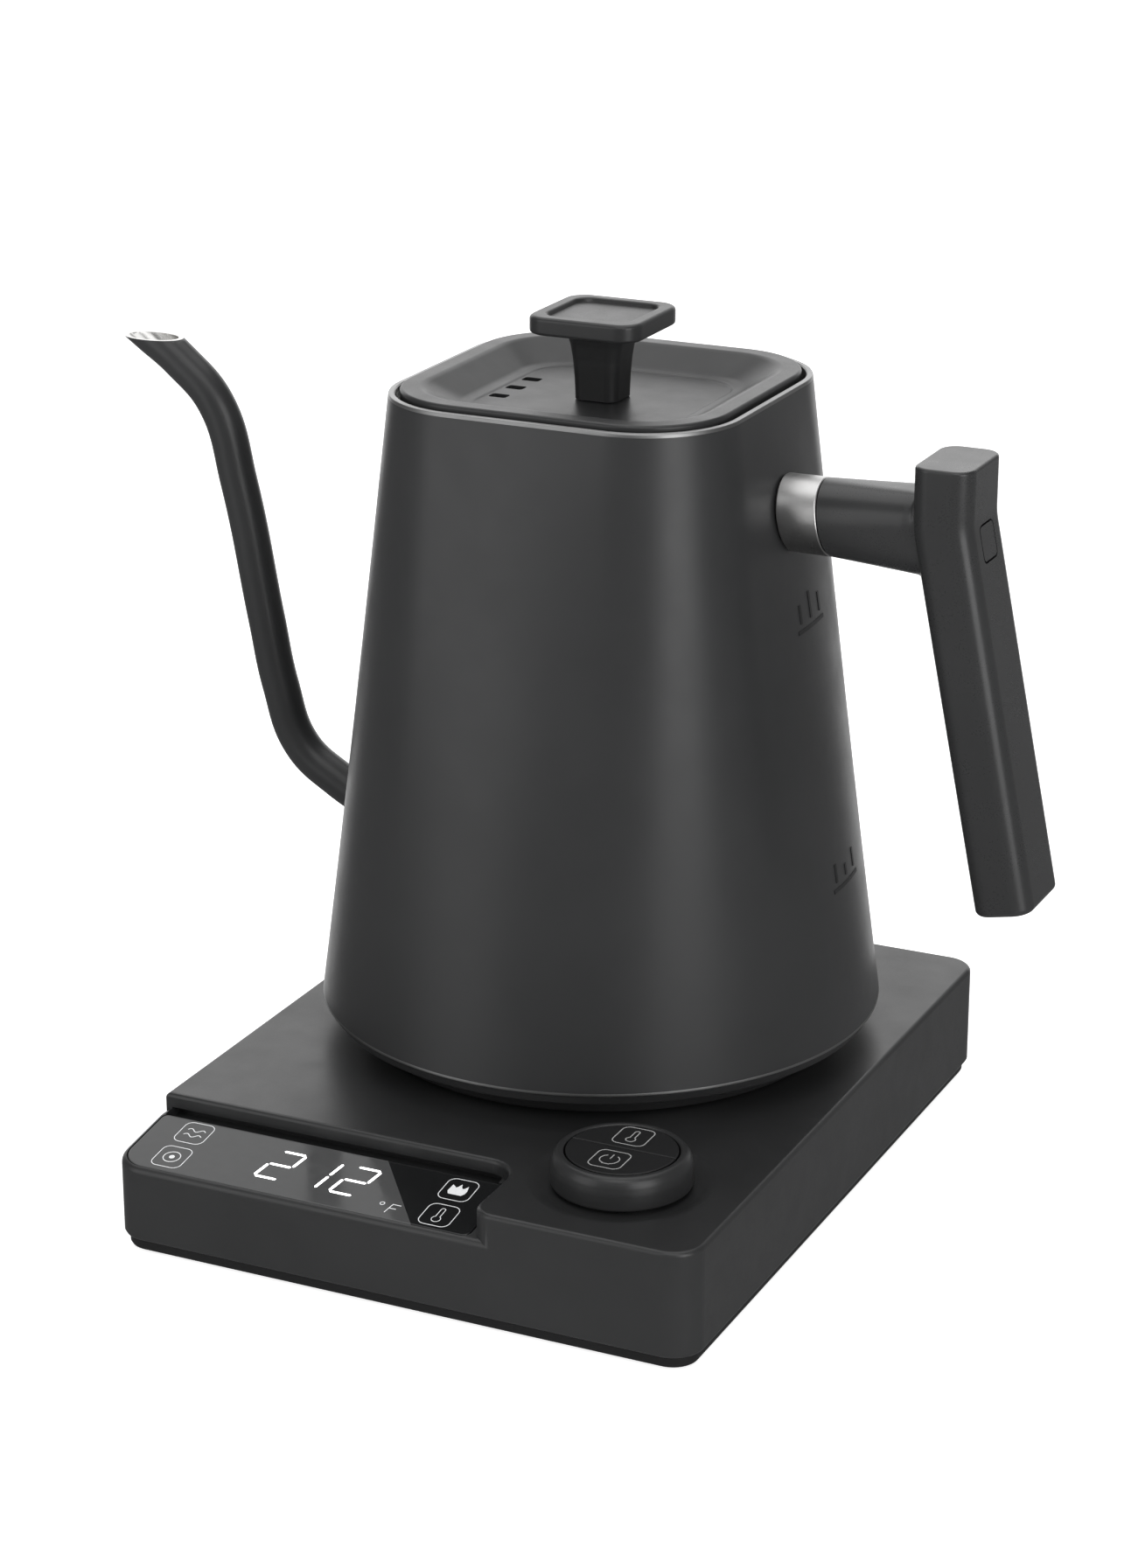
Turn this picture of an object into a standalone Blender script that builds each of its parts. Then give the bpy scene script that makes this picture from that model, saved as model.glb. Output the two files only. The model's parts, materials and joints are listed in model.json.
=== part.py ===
"""Gooseneck kettle on its electric base.

The kettle's axis is the design axis: every piece is placed from the empty that stands on it.
-X is the spout, +X the handle, -Y the front with the display and the dial, +Z up.
Lengths are written in millimetres and turned into metres by mm().
"""

import math

import bmesh
import bpy
from mathutils import Vector

# ---- driving dimensions, millimetres ------------------------------------------------
GAP = 0.3                      # clearance between pieces that touch

# The world's origin is under the middle of the whole outline.
AXIS_X = 8.87
AXIS_Y = 20.25

# Base
BASE_LEFT, BASE_RIGHT = -74.9, 74.9
BASE_FRONT, BASE_BACK = -114.5, 74.0
BASE_TOP = 30.4
BASE_SKIRT = 3.9               # lower edge of the housing
BASE_CORNER = 7.7
EDGE = 1.2                     # rounding of the plate's upper edge
SHELL = 2.5                    # thickness of the housing
CAVITY_TOP = BASE_TOP - SHELL
NOTCH_RIGHT = 20.0             # right wall of the display's notch
LIP_FRONT = -88.2              # front edge of the plate above the display
LIP_UNDERSIDE = 26.9
LEDGE_BACK_HEIGHT = 26.7       # height of the sloping ledge at LEDGE_BACK
LEDGE_BACK = -88.5
LEDGE_SLOPE = 0.14
LEDGE_CAVITY_TOP = 20.0
GLASS_BACK = -91.3
GLASS_THICKNESS = 1.2
POST_X, POST_FRONT, POST_BACK = 66.0, -105.0, 65.0
FOOT_X, FOOT_FRONT, FOOT_BACK = 56.0, -96.0, 56.0
BOTTOM_COVER_TOP = BASE_SKIRT - GAP
BOTTOM_COVER_UNDERSIDE = 1.0

# Dial
DIAL_X, DIAL_Y = 44.6, -85.0
DIAL_FACE = 38.1
BUTTON_RADIUS = 13.05
BUTTON_SPLIT = 0.8             # the split lies a little behind the dial's centre
STEM_OFFSET = 6.5

# Kettle body: a circle at the foot, a rounded square at the rim
FOOT_HEIGHT, FOOT_RADIUS = 39.2, 70.0
RIM_HEIGHT, RIM_HALF, RIM_CORNER = 194.5, 44.1, 24.1
WALL = 0.8
SEAT_HEIGHT = 189.0
BODY_STEPS = 64
LID_STEPS = 48

# Handle
ARM_HEIGHT = 168.0
COLLAR_START, COLLAR_END = 48.9, 59.0
WALL_LEAN = 0.17               # how far the wall comes in for each unit of height
GRIP_X, GRIP_HALF_X, GRIP_HALF_Y, GRIP_CORNER = 89.8, 7.3, 12.0, 4.6
GRIP_TOP, GRIP_BEND = 185.5, 171.0
GRIP_LEAN = math.radians(11.5)
GRIP_LENGTH = 93.9             # along the leaning part
BEND_RADIUS = 25.0

# Spout
SPOUT_RADIUS, SPOUT_WALL = 4.75, 0.8
SPOUT_TIP_HEIGHT = 193.3
SPOUT_PATH = (
    (-132.5, 198.5), (-125.5, 193.6), (-117.2, 187.8), (-107.0, 177.6), (-101.1, 158.1),
    (-94.1, 122.4), (-90.6, 105.5), (-84.9, 90.3), (-74.0, 82.0), (-58.0, 74.5),
)

# colour, roughness, metallic
FINISHES = {
    "charcoal_paint": ((0.045, 0.046, 0.048), 0.42, 0.0),
    "charcoal_plastic": ((0.035, 0.036, 0.038), 0.48, 0.0),
    "black_plastic": ((0.012, 0.012, 0.013), 0.5, 0.0),
    "bright_steel": ((0.62, 0.62, 0.61), 0.25, 1.0),
    "brushed_steel": ((0.55, 0.55, 0.54), 0.34, 1.0),
    "cast_aluminium": ((0.5, 0.5, 0.5), 0.5, 1.0),
    "black_glass": ((0.01, 0.01, 0.011), 0.08, 0.0),
    "black_rubber": ((0.02, 0.02, 0.02), 0.8, 0.0),
    "grey_silicone": ((0.25, 0.25, 0.25), 0.7, 0.0),
    "circuit_board": ((0.02, 0.11, 0.05), 0.5, 0.0),
    "white_plastic": ((0.6, 0.6, 0.58), 0.45, 0.0),
}


def mm(value):
    return value * 0.001


def clear_scene():
    for item in list(bpy.data.objects):
        bpy.data.objects.remove(item, do_unlink=True)


def new_collection(name):
    collection = bpy.data.collections.new(name)
    bpy.context.scene.collection.children.link(collection)
    return collection


clear_scene()
PARTS = new_collection("gooseneck_kettle")
CUTTERS = new_collection("cutters")
KETTLE_AXIS = bpy.data.objects.new("kettle_axis", None)
KETTLE_AXIS.location = (mm(AXIS_X), mm(AXIS_Y), 0.0)
PARTS.objects.link(KETTLE_AXIS)


def finish_material(name, finish):
    color, roughness, metallic = FINISHES[finish]
    made = bpy.data.materials.new(name + "_" + finish)
    made.use_nodes = True
    shader = made.node_tree.nodes["Principled BSDF"]
    shader.inputs["Base Color"].default_value = (*color, 1.0)
    shader.inputs["Roughness"].default_value = roughness
    shader.inputs["Metallic"].default_value = metallic
    return made


def add_part(name, mesh, finish, location=(0.0, 0.0, 0.0), rotation=(0.0, 0.0, 0.0)):
    part = bpy.data.objects.new(name, mesh)
    PARTS.objects.link(part)
    part.parent = KETTLE_AXIS
    part.location = [mm(value) for value in location]
    part.rotation_euler = rotation
    mesh.materials.append(finish_material(name, finish))
    if mesh.polygons:
        mesh.shade_smooth()
        mesh.set_sharp_from_angle(angle=math.radians(32.0))
    return part


def add_cutter(name, mesh, location=(0.0, 0.0, 0.0), rotation=(0.0, 0.0, 0.0)):
    cutter = bpy.data.objects.new(name, mesh)
    CUTTERS.objects.link(cutter)
    cutter.parent = KETTLE_AXIS
    cutter.location = [mm(value) for value in location]
    cutter.rotation_euler = rotation
    cutter.hide_render = True
    cutter.display_type = "WIRE"
    return cutter


def combine(part, other, operation):
    modifier = part.modifiers.new(operation.lower() + "_" + other.name, "BOOLEAN")
    modifier.operation = operation
    modifier.solver = "EXACT"
    modifier.object = other


def cut(part, *cutters):
    for cutter in cutters:
        combine(part, cutter, "DIFFERENCE")


# ---- shapes -------------------------------------------------------------------------

def box_mesh(name, low, high):
    """A box between two corners."""
    solid = bmesh.new()
    bmesh.ops.create_cube(solid, size=1.0)
    size = Vector(high) - Vector(low)
    middle = (Vector(high) + Vector(low)) / 2.0
    for vertex in solid.verts:
        vertex.co = [mm(c * s + m) for c, s, m in zip(vertex.co, size, middle)]
    mesh = bpy.data.meshes.new(name)
    solid.to_mesh(mesh)
    solid.free()
    return mesh


def cylinder_mesh(name, radius, low, high, sides=24):
    """An upright cylinder from z = low to z = high."""
    solid = bmesh.new()
    bmesh.ops.create_cone(
        solid, cap_ends=True, segments=sides, radius1=mm(radius), radius2=mm(radius),
        depth=mm(high - low),
    )
    bmesh.ops.translate(solid, verts=solid.verts, vec=(0.0, 0.0, mm((high + low) / 2.0)))
    mesh = bpy.data.meshes.new(name)
    solid.to_mesh(mesh)
    solid.free()
    return mesh


def profile_mesh(name, profile, ring):
    """The outline that a Screw modifier turns, clockwise; a ring's outline is closed."""
    points = [(mm(r), 0.0, mm(z)) for r, z in profile]
    edges = [(i, i + 1) for i in range(len(points) - 1)]
    if ring:
        edges.append((len(points) - 1, 0))
    mesh = bpy.data.meshes.new(name)
    mesh.from_pydata(points, edges, [])
    return mesh


def turn(item, steps):
    """Turn a profile around the object's Z axis."""
    screw = item.modifiers.new("turned", "SCREW")
    screw.angle = math.tau
    screw.steps = steps
    screw.render_steps = steps
    screw.use_merge_vertices = True
    screw.merge_threshold = 0.00001
    screw.use_smooth_shade = True


def turned_part(name, profile, finish, steps, ring=False, **placing):
    part = add_part(name, profile_mesh(name, profile, ring), finish, **placing)
    turn(part, steps)
    return part


def turned_cutter(name, profile, steps, **placing):
    cutter = add_cutter(name, profile_mesh(name, profile, False), **placing)
    turn(cutter, steps)
    return cutter


def loft_mesh(name, rings, closed=False):
    """Skin a stack of rings; an open stack is capped, a closed one joins its ends."""
    count = len(rings[0])
    points = [tuple(mm(value) for value in point) for ring in rings for point in ring]
    faces = []
    for level in range(len(rings) if closed else len(rings) - 1):
        low = level * count
        high = (level + 1) % len(rings) * count
        for i in range(count):
            j = (i + 1) % count
            faces.append((low + i, low + j, high + j, high + i))
    if not closed:
        faces.append(tuple(reversed(range(count))))
        faces.append(tuple(range(len(points) - count, len(points))))
    mesh = bpy.data.meshes.new(name)
    mesh.from_pydata(points, [], faces)
    return mesh


def square_radius(angle, half, corner):
    """Distance from the middle of a rounded square to its edge in one direction."""
    quarter = math.pi / 2.0
    folded = abs((angle + quarter / 2.0) % quarter - quarter / 2.0)
    along, across = math.cos(folded), math.sin(folded)
    middle = half - corner
    if half * across <= middle * along:
        return half / along
    reach = middle * (along + across)
    return reach + math.sqrt(reach * reach - 2.0 * middle * middle + corner * corner)


def square_ring(half, corner, height, steps):
    """A rounded square around the Z axis."""
    ring = []
    for step in range(steps):
        angle = math.tau * step / steps
        radius = square_radius(angle, half, corner)
        ring.append((radius * math.cos(angle), radius * math.sin(angle), height))
    return ring


def square_stack(name, levels, steps, closed=False):
    return loft_mesh(name, [square_ring(*level, steps) for level in levels], closed)


def arc(center, radius, start, end, segments):
    """Points of an arc, both ends included; angles in degrees."""
    points = []
    for step in range(segments + 1):
        angle = math.radians(start + (end - start) * step / segments)
        points.append((center[0] + radius * math.cos(angle), center[1] + radius * math.sin(angle)))
    return points


def rounded_outline(left, right, front, back, radius, segments=6):
    """A rounded rectangle, anticlockwise from its right side."""
    points = arc((right - radius, back - radius), radius, 0.0, 90.0, segments)
    points += arc((left + radius, back - radius), radius, 90.0, 180.0, segments)
    points += arc((left + radius, front + radius), radius, 180.0, 270.0, segments)
    points += arc((right - radius, front + radius), radius, 270.0, 360.0, segments)
    return points


def inset_outline(outline, inset):
    """Move an anticlockwise outline inwards; a negative inset lets it grow."""
    moved = []
    for index, point in enumerate(outline):
        here = Vector(point)
        before = (here - Vector(outline[index - 1])).normalized()
        after = (Vector(outline[(index + 1) % len(outline)]) - here).normalized()
        first = Vector((-before.y, before.x))
        inward = (first + Vector((-after.y, after.x))).normalized()
        moved.append(here + inward * (inset / inward.dot(first)))
    return moved


def prism_mesh(name, outline, levels):
    """Stack an outline over levels of (height, inset); a height may depend on y."""
    rings = []
    for height, inset in levels:
        ring = []
        for x, y in inset_outline(outline, inset):
            ring.append((x, y, height(y) if callable(height) else height))
        rings.append(ring)
    return loft_mesh(name, rings)


def rounded_edge(top, radius, sign=1.0, steps=3):
    """Levels that round an upper edge; sign -1 is for the cutter of such an edge."""
    levels = []
    for step in range(steps + 1):
        angle = math.pi / 2.0 * step / steps
        inset = radius * (1.0 - math.cos(angle))
        levels.append((top - radius + radius * math.sin(angle), sign * inset))
    return levels


def tube_mesh(name, path, radius, sides_setting, spline_type="POLY", swell=None, resolution=4):
    """A solid tube along a path, as a closed mesh."""
    curve = bpy.data.curves.new(name, "CURVE")
    curve.dimensions = "3D"
    curve.bevel_depth = mm(radius)
    curve.bevel_resolution = sides_setting
    curve.resolution_u = resolution
    curve.use_fill_caps = True
    spline = curve.splines.new(spline_type)
    if spline_type == "BEZIER":
        spline.bezier_points.add(len(path) - 1)
        points = spline.bezier_points
        for point, place in zip(points, path):
            point.co = [mm(value) for value in place]
            point.handle_left_type = "AUTO"
            point.handle_right_type = "AUTO"
    else:
        spline.points.add(len(path) - 1)
        points = spline.points
        for point, place in zip(points, path):
            point.co = (*[mm(value) for value in place], 1.0)
    if swell:
        for point, factor in zip(points, swell):
            point.radius = factor
    guide = bpy.data.objects.new(name, curve)
    CUTTERS.objects.link(guide)
    graph = bpy.context.evaluated_depsgraph_get()
    mesh = bpy.data.meshes.new_from_object(guide.evaluated_get(graph))
    bpy.data.objects.remove(guide)
    bpy.data.curves.remove(curve)
    solid = bmesh.new()
    solid.from_mesh(mesh)
    bmesh.ops.remove_doubles(solid, verts=solid.verts, dist=0.00001)
    bmesh.ops.recalc_face_normals(solid, faces=solid.faces)
    solid.to_mesh(mesh)
    solid.free()
    return mesh


def add_screw(name, head_radius, head_low, head_high, shank_radius, tip, **placing):
    """A pan-head screw that points up, its head at the bottom."""
    profile = [
        (0.0, tip), (shank_radius * 0.7, tip), (shank_radius, tip - 0.6),
        (shank_radius, head_high), (head_radius, head_high), (head_radius, head_low + 0.4),
        (head_radius - 0.5, head_low), (0.0, head_low),
    ]
    return turned_part(name, profile, "bright_steel", 10, **placing)


# ---- base ---------------------------------------------------------------------------

def ledge_height(y, below=0.0):
    """Height of the sloping ledge that carries the display."""
    return LEDGE_BACK_HEIGHT + LEDGE_SLOPE * (y - LEDGE_BACK) - below


def notch_outline():
    """The space cut out of the plate above the display, anticlockwise."""
    inner, outer = 7.5, 5.5
    corner = arc((NOTCH_RIGHT - inner, LIP_FRONT - inner), inner, 0.0, 90.0, 6)
    shoulder = arc((NOTCH_RIGHT + outer, BASE_FRONT + outer), outer, 264.0, 180.0, 6)
    left, front = BASE_LEFT - 10.0, BASE_FRONT - 10.0
    return [(left, front), (NOTCH_RIGHT + outer, front)] + shoulder + corner + [(left, LIP_FRONT)]


def glass_outline():
    """The display glass, anticlockwise: its corners follow the housing's."""
    back_right = arc((NOTCH_RIGHT - 7.5, LIP_FRONT - 7.5), 6.5, 0.0, 42.0, 4)
    back_left = arc((-71.9, GLASS_BACK - 1.5), 1.5, 90.0, 180.0, 3)
    reach = BASE_CORNER - 1.5
    front_left = arc((BASE_LEFT + BASE_CORNER, BASE_FRONT + BASE_CORNER), reach, 180.0, 270.0, 5)
    front_right = arc((17.0, -111.0), 2.0, 270.0, 360.0, 3)
    end = back_right[-1][0]
    return back_right + [(end, GLASS_BACK)] + back_left + front_left + front_right


def build_housing():
    outline = rounded_outline(BASE_LEFT, BASE_RIGHT, BASE_FRONT, BASE_BACK, BASE_CORNER)
    levels = [(BASE_SKIRT, 0.9), (BASE_SKIRT + 1.0, 0.0)] + rounded_edge(BASE_TOP, EDGE)
    housing = add_part("base_housing", prism_mesh("base_housing", outline, levels), "charcoal_plastic")
    notch_levels = [(ledge_height, 0.0)] + rounded_edge(BASE_TOP, EDGE, sign=-1.0)
    notch_levels.append((BASE_TOP + 2.0, -EDGE))
    notch = add_cutter("notch", prism_mesh("notch", notch_outline(), notch_levels))
    slot = add_cutter("slot", box_mesh("slot", (-73.3, GLASS_BACK, 24.3), (16.0, -85.0, LIP_UNDERSIDE)))
    pocket_levels = [(lambda y: ledge_height(y, GLASS_THICKNESS + GAP), -GAP)]
    pocket_levels.append((lambda y: ledge_height(y, -1.0), -GAP))
    pocket = add_cutter("glass_pocket", prism_mesh("glass_pocket", glass_outline(), pocket_levels))
    window = add_cutter("window", box_mesh("window", (-57.0, -109.0, 18.0), (-13.0, -95.0, 25.0)))
    inner_left, inner_right = BASE_LEFT + SHELL, BASE_RIGHT - SHELL
    inner_front, inner_back = BASE_FRONT + SHELL, BASE_BACK - SHELL
    behind_slot = -83.0
    right_of_notch = NOTCH_RIGHT + SHELL
    cavities = [
        ("cavity_main", (inner_left, inner_right, behind_slot, inner_back), 0.0, CAVITY_TOP),
        ("cavity_dial", (right_of_notch, inner_right - 0.1, inner_front, -70.0), 1.0, CAVITY_TOP - 0.1),
        ("cavity_display", (inner_left + 0.1, inner_right - 0.2, inner_front + 0.1, -70.0), 2.0,
         LEDGE_CAVITY_TOP),
    ]
    hollows = []
    for name, sides, low, high in cavities:
        hollow = prism_mesh(name, rounded_outline(*sides, BASE_CORNER - SHELL, 4), [(low, 0.0), (high, 0.0)])
        hollows.append(add_cutter(name, hollow))
    cut(housing, notch, slot, pocket, window, *hollows)
    for index, (x, y) in enumerate(corner_places(POST_X, POST_FRONT, POST_BACK)):
        top = CAVITY_TOP + 0.8 if x > 0.0 or y > 0.0 else LEDGE_CAVITY_TOP + 0.8
        post = add_cutter(f"post_{index}", cylinder_mesh("post", 4.0, BASE_SKIRT, top, 12), (x, y, 0))
        bore = add_cutter(f"post_bore_{index}", cylinder_mesh("bore", 1.8, 2.0, 13.0, 10), (x, y, 0))
        combine(housing, post, "UNION")
        cut(housing, bore)
    dial_well = [(0.0, 31.5), (25.0, 31.5), (21.5, BASE_TOP), (19.4, 29.65), (17.4, 29.2), (14.4, 29.2),
                 (14.4, 26.0), (0.0, 26.0)]
    well = turned_cutter("dial_well", dial_well, 40, location=(DIAL_X, DIAL_Y, 0.0))
    tower_hole = add_cutter("tower_hole", cylinder_mesh("tower_hole", 12.4, 26.0, 32.0, 32))
    gland_profile = [(0.0, 3.0), (5.5, 3.0), (5.5, -1.0), (4.2, -1.0), (4.2, -6.0), (0.0, -6.0)]
    gland_hole = turned_cutter(
        "gland_hole", gland_profile, 20, location=(0.0, BASE_BACK, 17.0),
        rotation=(-math.pi / 2.0, 0.0, 0.0),
    )
    cut(housing, well, tower_hole, gland_hole)


def corner_places(x, front, back):
    return [(-x, front), (x, front), (x, back), (-x, back)]


def build_bottom():
    inset = 1.3
    outline = rounded_outline(
        BASE_LEFT + inset, BASE_RIGHT - inset, BASE_FRONT + inset, BASE_BACK - inset,
        BASE_CORNER - inset,
    )
    levels = [(BOTTOM_COVER_UNDERSIDE, 0.8), (BOTTOM_COVER_UNDERSIDE + 0.9, 0.0), (BOTTOM_COVER_TOP, 0.0)]
    cover = add_part("base_bottom_cover", prism_mesh("base_bottom_cover", outline, levels), "black_plastic")
    posts = corner_places(POST_X, POST_FRONT, POST_BACK)
    for index, (x, y) in enumerate(posts, start=1):
        well = [(0.0, 5.0), (1.8, 5.0), (1.8, 2.5), (3.2, 2.5), (3.2, 0.0), (0.0, 0.0)]
        well_cutter = turned_cutter(f"screw_well_{index}", well, 12, location=(x, y, 0.0))
        cut(cover, well_cutter)
        add_screw(f"base_screw_{index}", 2.8, 1.1, 2.2, 1.4, 12.0, location=(x, y, 0.0))
    feet = corner_places(FOOT_X, FOOT_FRONT, FOOT_BACK)
    for index, (x, y) in enumerate(feet, start=1):
        profile = [(0.0, 0.7), (7.0, 0.7), (7.0, 0.3), (6.7, 0.0), (0.0, 0.0)]
        turned_part(f"base_foot_{index}", profile, "black_rubber", 20, location=(x, y, 0.0))


def build_base_connector():
    profile = [
        (0.0, 37.5), (1.1, 37.5), (1.6, 37.0), (1.6, 31.0), (8.8, 31.0), (8.8, 38.6), (9.2, 39.0),
        (11.4, 39.0), (12.0, 38.2), (12.0, 27.6), (22.0, 27.6), (22.0, 25.0), (17.0, 25.0),
        (17.0, 15.0), (0.0, 15.0),
    ]
    turned_part("base_connector", profile, "black_plastic", 24)
    gland = [(2.6, -0.3), (5.2, -0.3), (5.2, -0.7), (3.9, -0.7), (3.9, -9.0), (2.6, -9.0)]
    turned_part(
        "cord_gland", gland, "black_rubber", 16, ring=True, location=(0.0, BASE_BACK, 17.0),
        rotation=(-math.pi / 2.0, 0.0, 0.0),
    )


def build_electronics():
    boards = [
        ("power_board", (-66.0, -44.0, 9.0), (-26.0, 40.0, 10.6), "circuit_board"),
        ("power_relay", (-60.0, -34.0, 10.9), (-44.0, -14.0, 25.0), "black_plastic"),
        ("control_board", (DIAL_X - 20.0, DIAL_Y - 20.0, 17.0), (DIAL_X + 16.0, DIAL_Y + 20.0, 18.6),
         "circuit_board"),
        ("display_board", (-60.0, -110.0, 12.3), (8.0, -90.0, 13.9), "circuit_board"),
        ("display_module", (-56.0, -108.0, 14.2), (-14.0, -96.0, 21.2), "black_plastic"),
    ]
    for name, low, high, finish in boards:
        add_part(name, box_mesh(name, low, high), finish)
    ribbon = [(8.6, -100.0, 13.1), (14.0, -100.0, 13.4), (19.0, -98.0, 16.5), (24.0, -97.0, 17.8)]
    add_part("display_ribbon", tube_mesh("display_ribbon", ribbon, 0.4, 1), "white_plastic")
    for name, y, finish in (
        ("connector_lead_live", -7.0, "black_plastic"),
        ("connector_lead_neutral", 0.0, "white_plastic"),
        ("connector_lead_earth", 7.0, "grey_silicone"),
    ):
        path = [(-9.0, y, 14.6), (-10.0, y, 12.2), (-14.0, y, 10.0), (-20.0, y, 9.6), (-25.4, y, 9.8)]
        add_part(name, tube_mesh(name, path, 0.9, 1), finish)


def build_display():
    levels = [
        (lambda y: ledge_height(y, GLASS_THICKNESS), 0.0),
        (lambda y: ledge_height(y, 0.15), 0.0),
        (ledge_height, 0.15),
    ]
    add_part("display_glass", prism_mesh("display_glass", glass_outline(), levels), "black_glass")


def build_dial():
    center = {"location": (DIAL_X, DIAL_Y, 0.0)}
    ring = [
        (13.4, DIAL_FACE), (14.6, DIAL_FACE), (15.5, 37.5), (16.2, 36.2), (16.5, 34.2), (16.5, 30.2),
        (14.0, 30.2), (14.0, 24.5), (12.6, 24.5), (12.6, 35.6), (13.4, 35.6),
    ]
    turned_part("dial_ring", ring, "charcoal_plastic", 32, ring=True, **center)
    encoder = [(14.4, 27.5), (18.0, 27.5), (18.0, 18.9), (14.4, 18.9)]
    turned_part("dial_encoder", encoder, "black_plastic", 20, ring=True, **center)
    carrier = [(0.0, 35.2), (12.1, 35.2), (12.1, 18.9), (10.6, 18.9), (10.6, 33.8), (0.0, 33.8)]
    carrier_part = turned_part("button_carrier", carrier, "black_plastic", 24, **center)
    add_part("button_board", cylinder_mesh("button_board", 10.3, 25.0, 26.2, 20), "circuit_board", **center)
    half_moons = [("unit_button", "unit_switch", 1.0), ("power_button", "power_switch", -1.0)]
    for button_name, switch_name, side in half_moons:
        edge = BUTTON_SPLIT * side + 0.15
        limit = math.degrees(math.asin(edge / BUTTON_RADIUS))
        outline = arc((0.0, 0.0), BUTTON_RADIUS, limit, 180.0 - limit, 14)
        if side < 0.0:
            outline = [(-x, -y) for x, y in outline]
        levels = [(36.3, 0.0), (37.8, 0.0), (DIAL_FACE, 0.3)]
        button = add_part(button_name, prism_mesh(button_name, outline, levels), "charcoal_plastic", **center)
        stem_place = (DIAL_X, DIAL_Y + STEM_OFFSET * side, 0.0)
        stem = add_cutter(button_name + "_stem", cylinder_mesh("stem", 1.5, 29.9, 37.0, 10), stem_place)
        combine(button, stem, "UNION")
        hole = add_cutter(button_name + "_hole", cylinder_mesh("hole", 1.9, 33.0, 36.0, 12), stem_place)
        cut(carrier_part, hole)
        switch = box_mesh(switch_name, (-3.0, -3.0, 26.5), (3.0, 3.0, 29.2))
        add_part(switch_name, switch, "black_plastic", stem_place)


# ---- kettle -------------------------------------------------------------------------

def wall_ring(height, inset):
    """The body's section at a height: a straight blend of the foot circle and the rim."""
    share = (height - FOOT_HEIGHT) / (RIM_HEIGHT - FOOT_HEIGHT)
    ring = []
    for step in range(BODY_STEPS):
        angle = math.tau * step / BODY_STEPS
        rim = square_radius(angle, RIM_HALF - inset, RIM_CORNER - inset)
        radius = (1.0 - share) * (FOOT_RADIUS - inset) + share * rim
        ring.append((radius * math.cos(angle), radius * math.sin(angle), height))
    return ring


def build_body():
    heights = [FOOT_HEIGHT, 91.0, 142.7, RIM_HEIGHT - 0.5]
    rings = [wall_ring(height, 0.0) for height in heights]
    rings += [wall_ring(RIM_HEIGHT, 0.4), wall_ring(RIM_HEIGHT, 1.6)]
    rings.append(square_ring(RIM_HALF - 1.6, RIM_CORNER - 1.6, SEAT_HEIGHT, BODY_STEPS))
    rings.append(square_ring(38.5, 18.5, SEAT_HEIGHT, BODY_STEPS))
    rings.append(square_ring(38.5, 18.5, SEAT_HEIGHT - 1.2, BODY_STEPS))
    rings.append(wall_ring(SEAT_HEIGHT - 1.2, WALL))
    rings += [wall_ring(height, WALL) for height in reversed(heights[:-1])]
    body = add_part("kettle_body", loft_mesh("kettle_body", rings, closed=True), "charcoal_paint")
    outlet = add_cutter(
        "outlet", cylinder_mesh("outlet", 4.0, -8.0, 8.0, 16), (-64.0, 0.0, 76.7),
        (0.0, math.radians(-64.0), 0.0),
    )
    cut(body, outlet)


def build_spout():
    path = [(x, 0.0, z) for x, z in SPOUT_PATH]
    swell = [1.0] * 7 + [1.0, 1.02, 1.03]
    bore_share = (SPOUT_RADIUS - SPOUT_WALL) / SPOUT_RADIUS
    start, end = path[0], path[-1]
    bore_path = [(start[0] - 3.0, 0.0, start[2] + 2.1)] + path[1:-1] + [(end[0] + 6.0, 0.0, end[2] - 2.9)]
    spout = add_part("spout", tube_mesh("spout", path, SPOUT_RADIUS, 5, "BEZIER", swell), "charcoal_paint")
    bore_mesh = tube_mesh("spout_bore", bore_path, SPOUT_RADIUS * bore_share, 4, "BEZIER", swell, 3)
    bore = add_cutter("spout_bore", bore_mesh)
    tip = add_cutter("tip_cut", box_mesh("tip_cut", (-150.0, -20.0, SPOUT_TIP_HEIGHT), (-100.0, 20.0, 220.0)))
    clearance = add_cutter(
        "wall_clearance", loft_mesh("wall_clearance", [wall_ring(z, -GAP) for z in (50.0, 76.0, 120.0)]),
    )
    cut(spout, bore, tip, clearance)


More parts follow.
